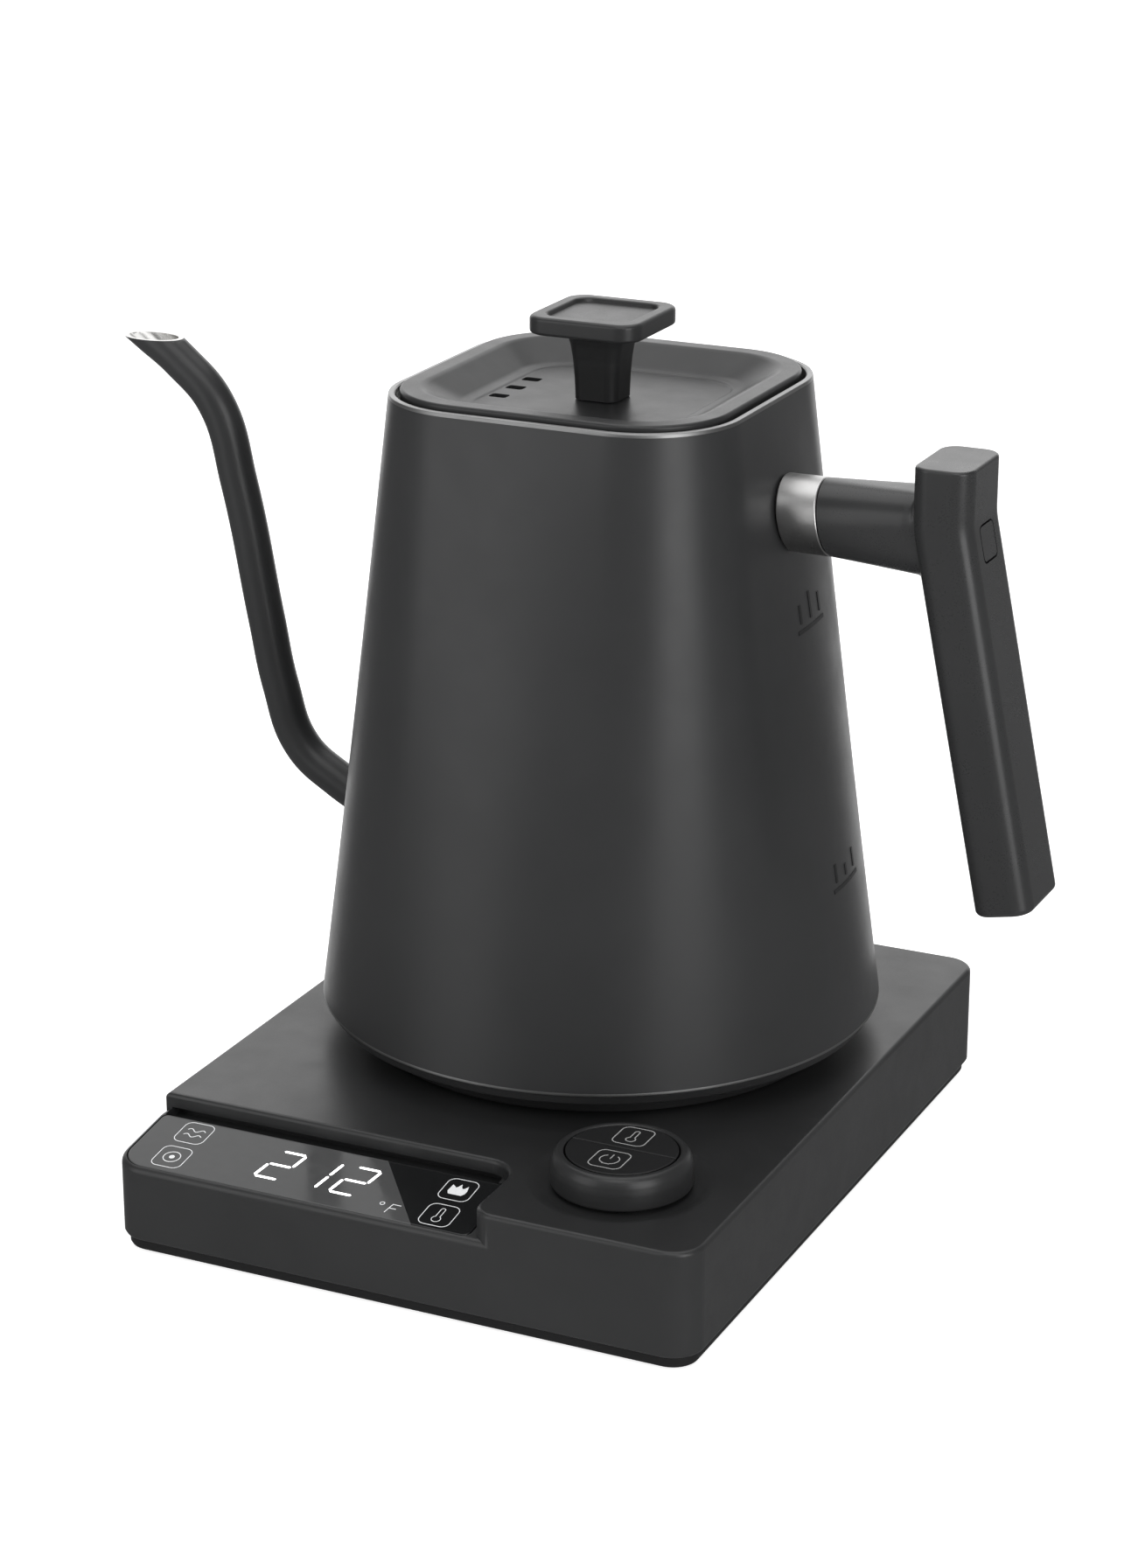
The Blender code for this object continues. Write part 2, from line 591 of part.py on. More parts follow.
def build_kettle_bottom():
    floor_profile = [(0.0, 47.0), (67.6, 47.0), (67.6, 46.0), (0.0, 46.0)]
    floor = turned_part("kettle_floor", floor_profile, "bright_steel", 40)
    spreader_profile = [(0.0, 45.7), (55.0, 45.7), (55.0, 44.0), (0.0, 44.0)]
    spreader = turned_part("heat_spreader", spreader_profile, "cast_aluminium", 28)
    probe_place = (24.0, -8.0, 0.0)
    probe_hole = add_cutter("probe_hole", cylinder_mesh("probe_hole", 4.0, 42.0, 50.0, 12), probe_place)
    cut(floor, probe_hole)
    cut(spreader, probe_hole)
    probe = [(0.0, 62.0), (1.4, 61.6), (2.4, 60.0), (2.4, 43.0), (0.0, 43.0)]
    turned_part("temperature_probe", probe, "bright_steel", 12, location=probe_place)
    seal = [(2.7, 49.0), (5.2, 48.6), (5.2, 47.3), (3.6, 47.3), (3.6, 44.2), (2.7, 44.2)]
    turned_part("probe_seal", seal, "grey_silicone", 12, ring=True, location=probe_place)
    coil = [(x, y, 40.7) for x, y in arc((0.0, 0.0), 45.0, 20.0, 340.0, 20)]
    add_part("heating_element", tube_mesh("heating_element", coil, 2.9, 2), "brushed_steel")
    cover_profile = [
        (66.4, 38.9), (68.9, 38.9), (68.2, 36.4), (61.5, 36.0), (60.0, 30.7), (56.0, 30.7),
        (55.0, 35.0), (17.2, 35.0), (17.2, 36.8), (65.0, 37.2),
    ]
    cover = turned_part("kettle_bottom_cover", cover_profile, "charcoal_plastic", 36, ring=True)
    for index in range(3):
        angle = math.radians(90.0 + 120.0 * index)
        place = (34.0 * math.cos(angle), 34.0 * math.sin(angle), 0.0)
        stud = add_cutter(f"stud_{index}", cylinder_mesh("stud", 3.0, 37.2, 44.8, 12), place)
        combine(spreader, stud, "UNION")
        bore = add_cutter(f"stud_bore_{index}", cylinder_mesh("stud_bore", 1.5, 33.0, 43.0, 10), place)
        cut(spreader, bore)
        cut(cover, bore)
        add_screw(f"bottom_cover_screw_{index + 1}", 2.8, 33.2, 34.7, 1.2, 42.0, location=place)
    socket = [
        (0.0, 43.0), (15.4, 43.0), (16.0, 42.4), (16.0, 31.6), (12.7, 31.6), (12.7, 40.5), (8.2, 40.5),
        (8.2, 31.6), (2.4, 31.6), (2.4, 39.5), (0.0, 39.5),
    ]
    turned_part("connector_socket", socket, "black_plastic", 24)


def lean(height):
    """How far an upright face that follows the body's wall stands off at a height."""
    return -WALL_LEAN * (height - ARM_HEIGHT)


def round_ring(place, radius, sides=28):
    """A circle around the arm's axis in a plane that leans with the wall."""
    ring = []
    for step in range(sides):
        angle = math.tau * step / sides
        height = ARM_HEIGHT + radius * math.sin(angle)
        ring.append((place + lean(height), radius * math.cos(angle), height))
    return ring


def grip_face(height):
    """Where the grip's side that faces the kettle stands at a height."""
    return GRIP_X - GRIP_HALF_X + max(0.0, GRIP_BEND - height) * math.tan(GRIP_LEAN)


def arm_ring(share, before_face, sides=28):
    """A section of the arm; near the grip it swells into a fillet, mostly below."""
    radius = 9.25 + 0.55 * share
    corner = radius * (1.0 - 0.3 * share)
    ring = []
    for step in range(sides):
        angle = math.tau * step / sides
        reach = square_radius(angle, radius, corner)
        rise = reach * math.sin(angle)
        fillet = 2.6 if rise < 0.0 else 1.0
        inside = min(max(fillet - before_face, 0.0), fillet)
        swell = fillet - math.sqrt(fillet * fillet - inside * inside)
        height = ARM_HEIGHT - 0.2 * share + rise * (1.0 + swell / radius)
        start = COLLAR_END + GAP + lean(height)
        face = grip_face(height)
        x = start + (face - before_face - start) * share if share < 1.0 else face - before_face
        ring.append((x, reach * math.cos(angle), height))
    return ring


def grip_ring(x, height, tilt, inset):
    """A section of the grip square to its axis."""
    outline = rounded_outline(-GRIP_HALF_X, GRIP_HALF_X, -GRIP_HALF_Y, GRIP_HALF_Y, GRIP_CORNER, 5)
    ring = []
    for across, y in inset_outline(outline, inset):
        ring.append((x + across * math.cos(tilt), y, height + across * math.sin(tilt)))
    return ring


def grip_rings():
    """Sections from the grip's lower end to its flat top."""
    tangent = BEND_RADIUS * math.tan(GRIP_LEAN / 2.0)
    rings = []
    end_radius = 1.5
    for step in range(4):
        angle = math.pi / 2.0 * step / 3.0
        inset = end_radius * (1.0 - math.sin(angle))
        along = GRIP_LENGTH - end_radius * (1.0 - math.cos(angle))
        x = GRIP_X + along * math.sin(GRIP_LEAN)
        rings.append(grip_ring(x, GRIP_BEND - along * math.cos(GRIP_LEAN), GRIP_LEAN, inset))
    for step in range(5):
        tilt = GRIP_LEAN * (1.0 - step / 4.0)
        x = GRIP_X + BEND_RADIUS * (1.0 - math.cos(tilt))
        rings.append(grip_ring(x, GRIP_BEND + tangent - BEND_RADIUS * math.sin(tilt), tilt, 0.0))
    for height, inset in rounded_edge(GRIP_TOP, 0.8):
        rings.append(grip_ring(GRIP_X, height, 0.0, inset))
    return rings


def build_handle():
    collar = [
        (COLLAR_START, 8.9), (COLLAR_START + 0.3, 9.2), (COLLAR_END - 0.3, 9.3), (COLLAR_END, 9.0),
        (COLLAR_END, 6.0), (COLLAR_START, 6.0),
    ]
    collar_rings = [round_ring(place, radius) for place, radius in collar]
    add_part("handle_collar", loft_mesh("handle_collar", collar_rings, closed=True), "brushed_steel")
    boss = [(COLLAR_START, 5.7), (COLLAR_END - GAP, 5.7), (COLLAR_END - GAP, 2.4), (COLLAR_START, 2.4)]
    boss_rings = [round_ring(place, radius, 16) for place, radius in boss]
    add_part("handle_boss", loft_mesh("handle_boss", boss_rings, closed=True), "bright_steel")
    handle = add_part("handle", loft_mesh("handle", grip_rings()), "charcoal_plastic")
    arm_steps = [(0.0, 2.6), (0.35, 2.6), (0.7, 2.6)]
    arm_steps += [(1.0, before) for before in (2.6, 1.5, 0.7, 0.2, 0.0, -3.0)]
    arm_rings = [arm_ring(share, before) for share, before in arm_steps]
    arm = add_cutter("arm", loft_mesh("arm", arm_rings))
    combine(handle, arm, "UNION")
    tilt = -GRIP_LEAN * 0.9
    panel_place = (GRIP_X + 10.2, 0.0, 167.3)
    along_x = (0.0, math.pi / 2.0, 0.0)
    panels = {}
    for name, clearance in (("panel", 0.0), ("recess", GAP)):
        reach, wide, tall = 4.2 + clearance, 4.2 + clearance, 4.1 + clearance
        outline = rounded_outline(-tall, tall, -wide, wide, 1.2 + clearance, 3)
        mesh = prism_mesh(name, outline, [(-reach, 0.0), (reach, 0.0)])
        panels[name] = add_cutter(name, mesh, panel_place, (0.0, math.pi / 2.0 + tilt, 0.0))
    panel, recess = panels["panel"], panels["recess"]
    bore_profile = [(0.0, 99.0), (4.2, 99.0), (4.2, 91.5), (2.4, 91.5), (2.4, 50.0), (0.0, 50.0)]
    bore = turned_cutter("screw_bore", bore_profile, 16, location=(0.0, 0.0, ARM_HEIGHT), rotation=along_x)
    cut(handle, bore, recess)
    cover = add_part("handle_screw_cover", loft_mesh("handle_screw_cover", grip_rings()), "charcoal_plastic")
    combine(cover, panel, "INTERSECT")
    screw = [
        (0.0, 94.3), (3.3, 94.3), (3.8, 93.6), (3.8, 91.8), (2.0, 91.8), (2.0, 51.0), (1.4, 50.2),
        (0.0, 50.2),
    ]
    turned_part(
        "handle_screw", screw, "bright_steel", 14, location=(0.0, 0.0, ARM_HEIGHT), rotation=along_x,
    )


# ---- lid ----------------------------------------------------------------------------

def build_lid():
    cover_levels = [
        (25.0, 10.0, 189.5), (27.8, 12.0, 190.1), (35.3, 16.2, 194.4), (36.3, 17.0, 194.7),
        (40.4, 20.4, 194.7), (40.4, 20.4, 189.3), (41.35, 21.3, 189.3), (41.35, 21.3, 195.2),
        (40.9, 20.9, 195.7), (36.8, 17.4, 195.7), (35.9, 16.7, 195.4), (28.8, 12.6, 191.2),
        (27.6, 11.8, 190.95), (26.3, 11.0, 190.9), (25.6, 10.4, 190.5),
    ]
    cover = add_part("lid_cover", square_stack("lid_cover", cover_levels, LID_STEPS), "charcoal_paint")
    tray_levels = [
        (33.5, 15.0, 183.0), (36.0, 17.0, 189.2), (35.0, 16.0, 189.2), (32.6, 14.2, 184.0),
    ]
    tray = add_part("lid_inner_tray", square_stack("lid_inner_tray", tray_levels, 40), "bright_steel")
    for index, y in enumerate((-9.0, 0.0, 9.0), start=1):
        outline = rounded_outline(-25.2, -21.0, y - 1.5, y + 1.5, 1.1, 3)
        vent = add_cutter(f"vent_{index}", prism_mesh("vent", outline, [(181.0, 0.0), (196.0, 0.0)]))
        cut(cover, vent)
        cut(tray, vent)
    seal_levels = [(36.3, 17.2, 188.8), (36.3, 17.2, 186.6), (38.2, 18.4, 186.6), (38.2, 18.4, 188.8)]
    seal_mesh = square_stack("lid_seal", seal_levels, LID_STEPS, closed=True)
    add_part("lid_seal", seal_mesh, "grey_silicone")
    knob_levels = [
        (6.9, 3.4, 190.8), (5.9, 3.0, 191.4), (5.5, 2.8, 192.6), (5.5, 2.8, 197.0), (6.0, 3.0, 203.5),
        (6.5, 3.2, 206.0), (7.6, 3.6, 207.4), (9.2, 4.2, 207.9), (13.9, 4.8, 207.9), (14.3, 5.0, 208.4),
        (14.3, 5.0, 211.2), (13.7, 4.6, 211.8), (11.0, 3.8, 211.8), (10.5, 3.4, 210.8),
    ]
    knob = add_part("lid_knob", square_stack("lid_knob", knob_levels, 32), "charcoal_plastic")
    screw_hole = add_cutter("lid_screw_hole", cylinder_mesh("lid_screw_hole", 1.9, 180.0, 203.0, 10))
    cut(cover, screw_hole)
    cut(tray, screw_hole)
    cut(knob, screw_hole)
    add_screw("lid_knob_screw", 3.4, 181.0, 182.7, 1.6, 202.0)


build_housing()
build_bottom()
build_base_connector()
build_electronics()
build_display()
build_dial()
build_body()
build_spout()
build_kettle_bottom()
build_handle()
build_lid()
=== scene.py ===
"""Looks for the gooseneck kettle and its electric base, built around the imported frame.

Lengths are in millimetres in the kettle's own frame: the origin is on the kettle's axis at the
height of the feet, -X is the spout, +X the handle, -Y the display and dial, +Z up.
world() turns them into the row frame, in metres.
"""

import json
import math

import bmesh
import bpy
from mathutils import Matrix, Vector

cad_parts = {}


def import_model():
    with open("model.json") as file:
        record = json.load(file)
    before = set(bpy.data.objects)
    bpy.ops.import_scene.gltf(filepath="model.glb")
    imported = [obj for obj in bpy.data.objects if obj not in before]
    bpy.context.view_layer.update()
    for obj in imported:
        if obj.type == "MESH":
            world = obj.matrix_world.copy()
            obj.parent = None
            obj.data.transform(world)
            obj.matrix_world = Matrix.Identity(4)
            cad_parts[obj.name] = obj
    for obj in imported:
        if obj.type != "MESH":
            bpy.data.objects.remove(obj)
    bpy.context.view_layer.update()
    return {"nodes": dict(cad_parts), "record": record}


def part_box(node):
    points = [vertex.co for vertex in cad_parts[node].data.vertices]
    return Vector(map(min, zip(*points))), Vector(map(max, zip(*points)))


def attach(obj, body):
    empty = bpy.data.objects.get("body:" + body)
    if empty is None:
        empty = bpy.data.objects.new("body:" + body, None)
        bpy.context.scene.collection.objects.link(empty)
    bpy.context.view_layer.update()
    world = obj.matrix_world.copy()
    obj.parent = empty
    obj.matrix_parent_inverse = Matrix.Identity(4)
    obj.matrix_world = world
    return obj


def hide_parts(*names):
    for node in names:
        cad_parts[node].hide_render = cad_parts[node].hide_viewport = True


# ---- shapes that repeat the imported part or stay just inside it, millimetres -----------
GAP = 0.3
BASE_LEFT, BASE_RIGHT = -74.9, 74.9
BASE_FRONT, BASE_BACK = -114.5, 74.0
BASE_TOP, BASE_SKIRT, BASE_CORNER = 30.4, 3.9, 7.7
EDGE = 1.2                     # rounding of the plate's upper edge
SHELL = 2.5
NOTCH_RIGHT, LIP_FRONT, LIP_UNDERSIDE = 20.0, -88.2, 26.9
LEDGE_BACK, LEDGE_BACK_HEIGHT, LEDGE_SLOPE = -88.5, 26.7, 0.14
LEDGE_EDGE = 1.4               # rounding between the ledge and the front wall
GLASS_BACK, GLASS_THICKNESS = -91.3, 1.2
POST_X, POST_FRONT, POST_BACK = 66.0, -105.0, 65.0
DIAL_FACE, BUTTON_RADIUS, BUTTON_SPLIT, STEM_OFFSET = 38.1, 13.05, 0.8, 6.5
FOOT_HEIGHT, FOOT_RADIUS = 39.2, 70.0
RIM_HEIGHT, RIM_HALF, RIM_CORNER = 194.5, 44.1, 24.1
WALL, SEAT_HEIGHT, SEAT_HALF, SEAT_CORNER = 0.8, 189.0, 38.5, 18.5
ARM_HEIGHT, COLLAR_START, COLLAR_END, WALL_LEAN = 168.0, 48.9, 59.0, 0.17
GRIP_X, GRIP_HALF_X, GRIP_HALF_Y, GRIP_CORNER = 89.8, 7.3, 12.0, 4.6
GRIP_TOP, GRIP_BEND, GRIP_LENGTH, BEND_RADIUS = 185.5, 171.0, 93.7, 25.0
GRIP_LEAN = math.radians(11.5)
PANEL_SEAM = 0.5               # wider than the part's, so that it shows
SPOUT_RADIUS, SPOUT_WALL, SPOUT_TIP_HEIGHT = 4.75, 0.8, 193.1
SPOUT_PATH = (
    (-132.5, 198.5), (-125.5, 193.6), (-117.2, 187.8), (-107.0, 177.6), (-101.1, 158.1),
    (-94.1, 122.4), (-90.6, 105.5), (-84.9, 90.3), (-74.0, 82.0), (-58.0, 74.5),
)

# ---- how finely the round pieces are drawn --------------------------------------------
BODY_STEPS = 256
LID_STEPS = 192
LATHE_STEPS = 160
SHARP = math.radians(35.0)
MATERIAL_SLOTS = 3

# ---- camera: same side and height as the photograph's ---------------------------------
CAMERA_PLACE = (0.37514, -0.77433, 0.40862)
CAMERA_AZIMUTH, CAMERA_ELEVATION = math.radians(25.22), math.radians(19.88)
CAMERA_LENS, CAMERA_SENSOR = 86.2, 36.0
CLIP_END = 100.0

# ---- studio light: floor, world and soft boxes, metres --------------------------------
FLOOR_REACH, FLOOR_GLOW = 40.0, 0.82
BACK_RISE = math.radians(4.0)          # where the world is brightest, above the horizon
BACK_EDGE, BACK_FULL = 0.70, 0.92      # cosines of the angle from there
WORLD_DIM, WORLD_BRIGHT, BACKGROUND = 0.16, 1.55, 1.05


# ---- frame and places -----------------------------------------------------------------
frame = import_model()


def middle(node):
    low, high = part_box(node)
    return (low + high) / 2.0


KETTLE_AXIS = middle("kettle_floor")
DIAL_AXIS = (middle("dial_ring") - KETTLE_AXIS) * 1000.0
DIAL_X, DIAL_Y = DIAL_AXIS.x, DIAL_AXIS.y


def world(point):
    x, y, z = point
    return Vector((KETTLE_AXIS.x + x * 0.001, KETTLE_AXIS.y + y * 0.001, z * 0.001))


# ---- meshes ---------------------------------------------------------------------------

def new_object(name, data):
    item = bpy.data.objects.new(name, data)
    bpy.context.scene.collection.objects.link(item)
    return item


def make_mesh(name, points, faces, place=None):
    """A mesh from points in the kettle's frame; place is applied to them first."""
    if place is not None:
        points = [place @ Vector(point) for point in points]
    mesh = bpy.data.meshes.new(name)
    mesh.from_pydata([world(point) for point in points], [], faces)
    return with_slots(mesh)


def with_slots(mesh):
    """Empty material slots, so that Booleans keep each face's slot."""
    while len(mesh.materials) < MATERIAL_SLOTS:
        mesh.materials.append(None)
    return mesh


def loft(name, rings, closed=False, place=None, slots=None):
    """Skin a stack of rings; slots gives each band's material index."""
    count = len(rings[0])
    points = [tuple(point) for ring in rings for point in ring]
    faces = []
    bands = len(rings) if closed else len(rings) - 1
    for level in range(bands):
        low = level * count
        high = (level + 1) % len(rings) * count
        for i in range(count):
            j = (i + 1) % count
            faces.append((low + i, low + j, high + j, high + i))
    if not closed:
        faces.append(tuple(reversed(range(count))))
        faces.append(tuple(range(len(points) - count, len(points))))
    mesh = make_mesh(name, points, faces, place)
    if slots:
        for level in range(bands):
            for i in range(count):
                mesh.polygons[level * count + i].material_index = slots[level]
    return mesh


def lathe(name, profile, center=(0.0, 0.0), closed=False, sides=LATHE_STEPS, place=None):
    """Turn a profile of (radius, height) around an upright axis."""
    rings, faces, points = [], [], []
    for radius, height in profile:
        if radius < 0.001:
            rings.append([len(points)] * sides)
            points.append((center[0], center[1], height))
            continue
        rings.append(list(range(len(points), len(points) + sides)))
        for step in range(sides):
            angle = math.tau * step / sides
            x, y = center[0] + radius * math.cos(angle), center[1] + radius * math.sin(angle)
            points.append((x, y, height))
    bands = len(rings) if closed else len(rings) - 1
    for level in range(bands):
        low, high = rings[level], rings[(level + 1) % len(rings)]
        for i in range(sides):
            j = (i + 1) % sides
            corners = [low[j], low[i], high[i], high[j]]
            face = tuple(dict.fromkeys(corners))
            if len(face) > 2:
                faces.append(face)
    return make_mesh(name, points, faces, place)


def soften(points, radius, steps=3, closed=False):
    """Round the corners of a profile or a stack of levels."""
    points = [Vector(point) for point in points]
    last = len(points) - 1
    rounded = []
    for index, corner in enumerate(points):
        if not closed and index in (0, last):
            rounded.append(tuple(corner))
            continue
        before = points[index - 1] - corner
        after = points[(index + 1) % len(points)] - corner
        reach = min(radius, before.length * 0.45, after.length * 0.45)
        start = corner + before.normalized() * reach
        end = corner + after.normalized() * reach
        for step in range(steps + 1):
            t = step / steps
            rounded.append(tuple(start * (1 - t) ** 2 + corner * 2 * t * (1 - t) + end * t ** 2))
    return rounded


def square_radius(angle, half, corner):
    """Distance from the middle of a rounded square to its edge in one direction."""
    quarter = math.pi / 2.0
    folded = abs((angle + quarter / 2.0) % quarter - quarter / 2.0)
    along, across = math.cos(folded), math.sin(folded)
    inner = half - corner
    if half * across <= inner * along:
        return half / along
    reach = inner * (along + across)
    return reach + math.sqrt(reach * reach - 2.0 * inner * inner + corner * corner)


def square_ring(half, corner, height, steps):
    ring = []
    for step in range(steps):
        angle = math.tau * step / steps
        radius = square_radius(angle, half, corner)
        ring.append((radius * math.cos(angle), radius * math.sin(angle), height))
    return ring


def square_stack(name, levels, steps, closed=False):
    return loft(name, [square_ring(*level, steps) for level in levels], closed)


def arc(center, radius, start, end, segments):
    points = []
    for step in range(segments + 1):
        angle = math.radians(start + (end - start) * step / segments)
        points.append((center[0] + radius * math.cos(angle), center[1] + radius * math.sin(angle)))
    return points


def rounded_outline(left, right, front, back, radius, segments=12):
    """A rounded rectangle, anticlockwise from its right side."""
    points = arc((right - radius, back - radius), radius, 0.0, 90.0, segments)
    points += arc((left + radius, back - radius), radius, 90.0, 180.0, segments)
    points += arc((left + radius, front + radius), radius, 180.0, 270.0, segments)
    points += arc((right - radius, front + radius), radius, 270.0, 360.0, segments)
    return points


def inset_outline(outline, inset):
    """Move an anticlockwise outline inwards; a negative inset lets it grow."""
    moved = []
    for index, point in enumerate(outline):
        here = Vector(point)
        before = (here - Vector(outline[index - 1])).normalized()
        after = (Vector(outline[(index + 1) % len(outline)]) - here).normalized()
        first = Vector((-before.y, before.x))
        inward = (first + Vector((-after.y, after.x))).normalized()
        moved.append(here + inward * (inset / inward.dot(first)))
    return moved


def prism(name, outline, levels, place=None):
    """Stack an outline over levels of (height, inset); a height may depend on y."""
    rings = []
    for height, inset in levels:
        ring = []
        for x, y in inset_outline(outline, inset):
            ring.append((x, y, height(y) if callable(height) else height))
        rings.append(ring)
    return loft(name, rings, place=place)


def edge_levels(top, radius, sign=1.0, steps=6):
    """Levels that round an upper edge; top may depend on y."""
    levels = []
    for step in range(steps + 1):
        angle = math.pi / 2.0 * step / steps
        drop = radius * (1.0 - math.sin(angle))
        inset = sign * radius * (1.0 - math.cos(angle))
        height = (lambda y, drop=drop: top(y) - drop) if callable(top) else top - drop
        levels.append((height, inset))
    return levels


def box_mesh(name, low, high):
    corners = [(low[0], low[1]), (high[0], low[1]), (high[0], high[1]), (low[0], high[1])]
    return prism(name, corners, [(low[2], 0.0), (high[2], 0.0)])


def tube(name, path, radius, swell, resolution):
    """A solid tube along a smooth path through the points."""
    curve = bpy.data.curves.new(name, "CURVE")
    curve.dimensions = "3D"
    curve.bevel_depth = radius * 0.001
    curve.bevel_resolution = 12
    curve.resolution_u = resolution
    curve.use_fill_caps = True
    spline = curve.splines.new("BEZIER")
    spline.bezier_points.add(len(path) - 1)
    for point, place, factor in zip(spline.bezier_points, path, swell):
        point.co = world(place)
        point.handle_left_type = "AUTO"
        point.handle_right_type = "AUTO"
        point.radius = factor
    guide = new_object(name, curve)
    mesh = evaluated(guide)
    bpy.data.objects.remove(guide)
    bpy.data.curves.remove(curve)
    solid = bmesh.new()
    solid.from_mesh(mesh)
    bmesh.ops.remove_doubles(solid, verts=solid.verts, dist=0.000001)
    bmesh.ops.recalc_face_normals(solid, faces=solid.faces)
    solid.to_mesh(mesh)
    solid.free()
    return with_slots(mesh)


def evaluated(item):
    graph = bpy.context.evaluated_depsgraph_get()
    return bpy.data.meshes.new_from_object(item.evaluated_get(graph))


def set_slot(mesh, index):
    for polygon in mesh.polygons:
        polygon.material_index = index
    return mesh


def carve(mesh, *steps):
    """Apply Boolean steps of (operation, mesh) to a mesh."""
    work = new_object("work", mesh)
    tools = []
    for operation, tool_mesh in steps:
        tool = new_object("tool", tool_mesh)
        modifier = work.modifiers.new("step", "BOOLEAN")
        modifier.operation = operation
        modifier.solver = "EXACT"
        modifier.object = tool
        tools.append(tool)
    result = evaluated(work)
    for item in tools + [work]:
        bpy.data.objects.remove(item)
    return result


def cut(mesh, *tools):
    return carve(mesh, *[("DIFFERENCE", tool) for tool in tools])


def piece(name, mesh, materials, body, nodes=(), bevel=0.0, sharp=SHARP):
    """Finish a mesh and let it ride on a body in place of CAD nodes."""
    solid = bmesh.new()
    solid.from_mesh(mesh)
    bmesh.ops.remove_doubles(solid, verts=solid.verts, dist=0.0000005)
    bmesh.ops.dissolve_degenerate(solid, edges=solid.edges, dist=0.0000005)
    bmesh.ops.recalc_face_normals(solid, faces=solid.faces)
    solid.to_mesh(mesh)
    solid.free()
    item = new_object(name, mesh)
    with_slots(mesh)
    for index, material in enumerate(materials):
        mesh.materials[index] = material
    while len(mesh.materials) > len(materials):
        mesh.materials.pop()
    mesh.shade_smooth()
    if bevel:
        rounding = item.modifiers.new("rounding", "BEVEL")
        rounding.width = bevel * 0.001
        rounding.segments = 3
        rounding.limit_method = "ANGLE"
        rounding.angle_limit = SHARP
        item.data = evaluated(item)
        item.modifiers.clear()
    item.data.set_sharp_from_angle(angle=sharp)
    weighting = item.modifiers.new("weighting", "WEIGHTED_NORMAL")
    weighting.keep_sharp = True
    item.data = evaluated(item)
    item.modifiers.clear()
    item.data.name = name
    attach(item, body)
    if nodes:
        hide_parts(*nodes)
    return item


# ---- materials ------------------------------------------------------------------------

def set_range(node, *limits):
    for socket, limit in zip(("From Min", "From Max", "To Min", "To Max"), limits):
        node.inputs[socket].default_value = limit


class Graph:
    """A short way to write a material's node graph."""

    def __init__(self, name):
        self.material = bpy.data.materials.new(name)
        self.material.use_nodes = True
        self.tree = self.material.node_tree
        self.shader = self.tree.nodes["Principled BSDF"]
        self.place = self.add("ShaderNodeTexCoord").outputs["Object"]

    def add(self, kind, **settings):
        node = self.tree.nodes.new(kind)
        for key, value in settings.items():
            setattr(node, key, value)
        return node

    def link(self, source, target):
        self.tree.links.new(source, target)

    def shade(self, **sockets):
        """Set or link the shader's sockets; an underscore stands for a space."""
        for key, value in sockets.items():
            socket = self.shader.inputs[key.replace("_", " ")]
            if isinstance(value, bpy.types.NodeSocket):
                self.link(value, socket)
            else:
                socket.default_value = value

    def noise(self, size, detail=3.0, stretch=(1.0, 1.0, 1.0), roughness=0.5):
        """Noise with features of about size millimetres."""
        mapping = self.add("ShaderNodeMapping")
        mapping.inputs["Scale"].default_value = [1000.0 / size * value for value in stretch]
        self.link(self.place, mapping.inputs["Vector"])
        texture = self.add("ShaderNodeTexNoise")
        texture.inputs["Scale"].default_value = 1.0
        texture.inputs["Detail"].default_value = detail
        texture.inputs["Roughness"].default_value = roughness
        self.link(mapping.outputs["Vector"], texture.inputs["Vector"])
        return texture.outputs["Fac"]

    def spread(self, source, low, high, from_low=0.3, from_high=0.7):
        node = self.add("ShaderNodeMapRange")
        set_range(node, from_low, from_high, low, high)
        self.link(source, node.inputs["Value"])
        return node.outputs["Result"]

    def mix(self, factor, first, second):
        node = self.add("ShaderNodeMix", data_type="RGBA")
        self.link(factor, node.inputs["Factor"])
        for value, socket in ((first, node.inputs["A"]), (second, node.inputs["B"])):
            if isinstance(value, tuple):
                socket.default_value = (*value, 1.0)
            else:
                self.link(value, socket)
        return node.outputs["Result"]

    def edges(self, radius, amount):
        """amount along edges, 0 on open faces."""
        rounding = self.add("ShaderNodeBevel", samples=4)
        rounding.inputs["Radius"].default_value = radius * 0.001
        geometry = self.add("ShaderNodeNewGeometry")
        dot = self.add("ShaderNodeVectorMath", operation="DOT_PRODUCT")
        self.link(rounding.outputs["Normal"], dot.inputs[0])
        self.link(geometry.outputs["Normal"], dot.inputs[1])
        return self.spread(dot.outputs["Value"], amount, 0.0, 0.8, 0.985)

    def bump(self, height, depth, strength=1.0, under=None):
        node = self.add("ShaderNodeBump")
        node.inputs["Strength"].default_value = strength
        node.inputs["Distance"].default_value = depth * 0.001
        self.link(height, node.inputs["Height"])
        if under is not None:
            self.link(under, node.inputs["Normal"])
        return node.outputs["Normal"]


def scaled(color, factor):
    return tuple(min(1.0, value * factor) for value in color)


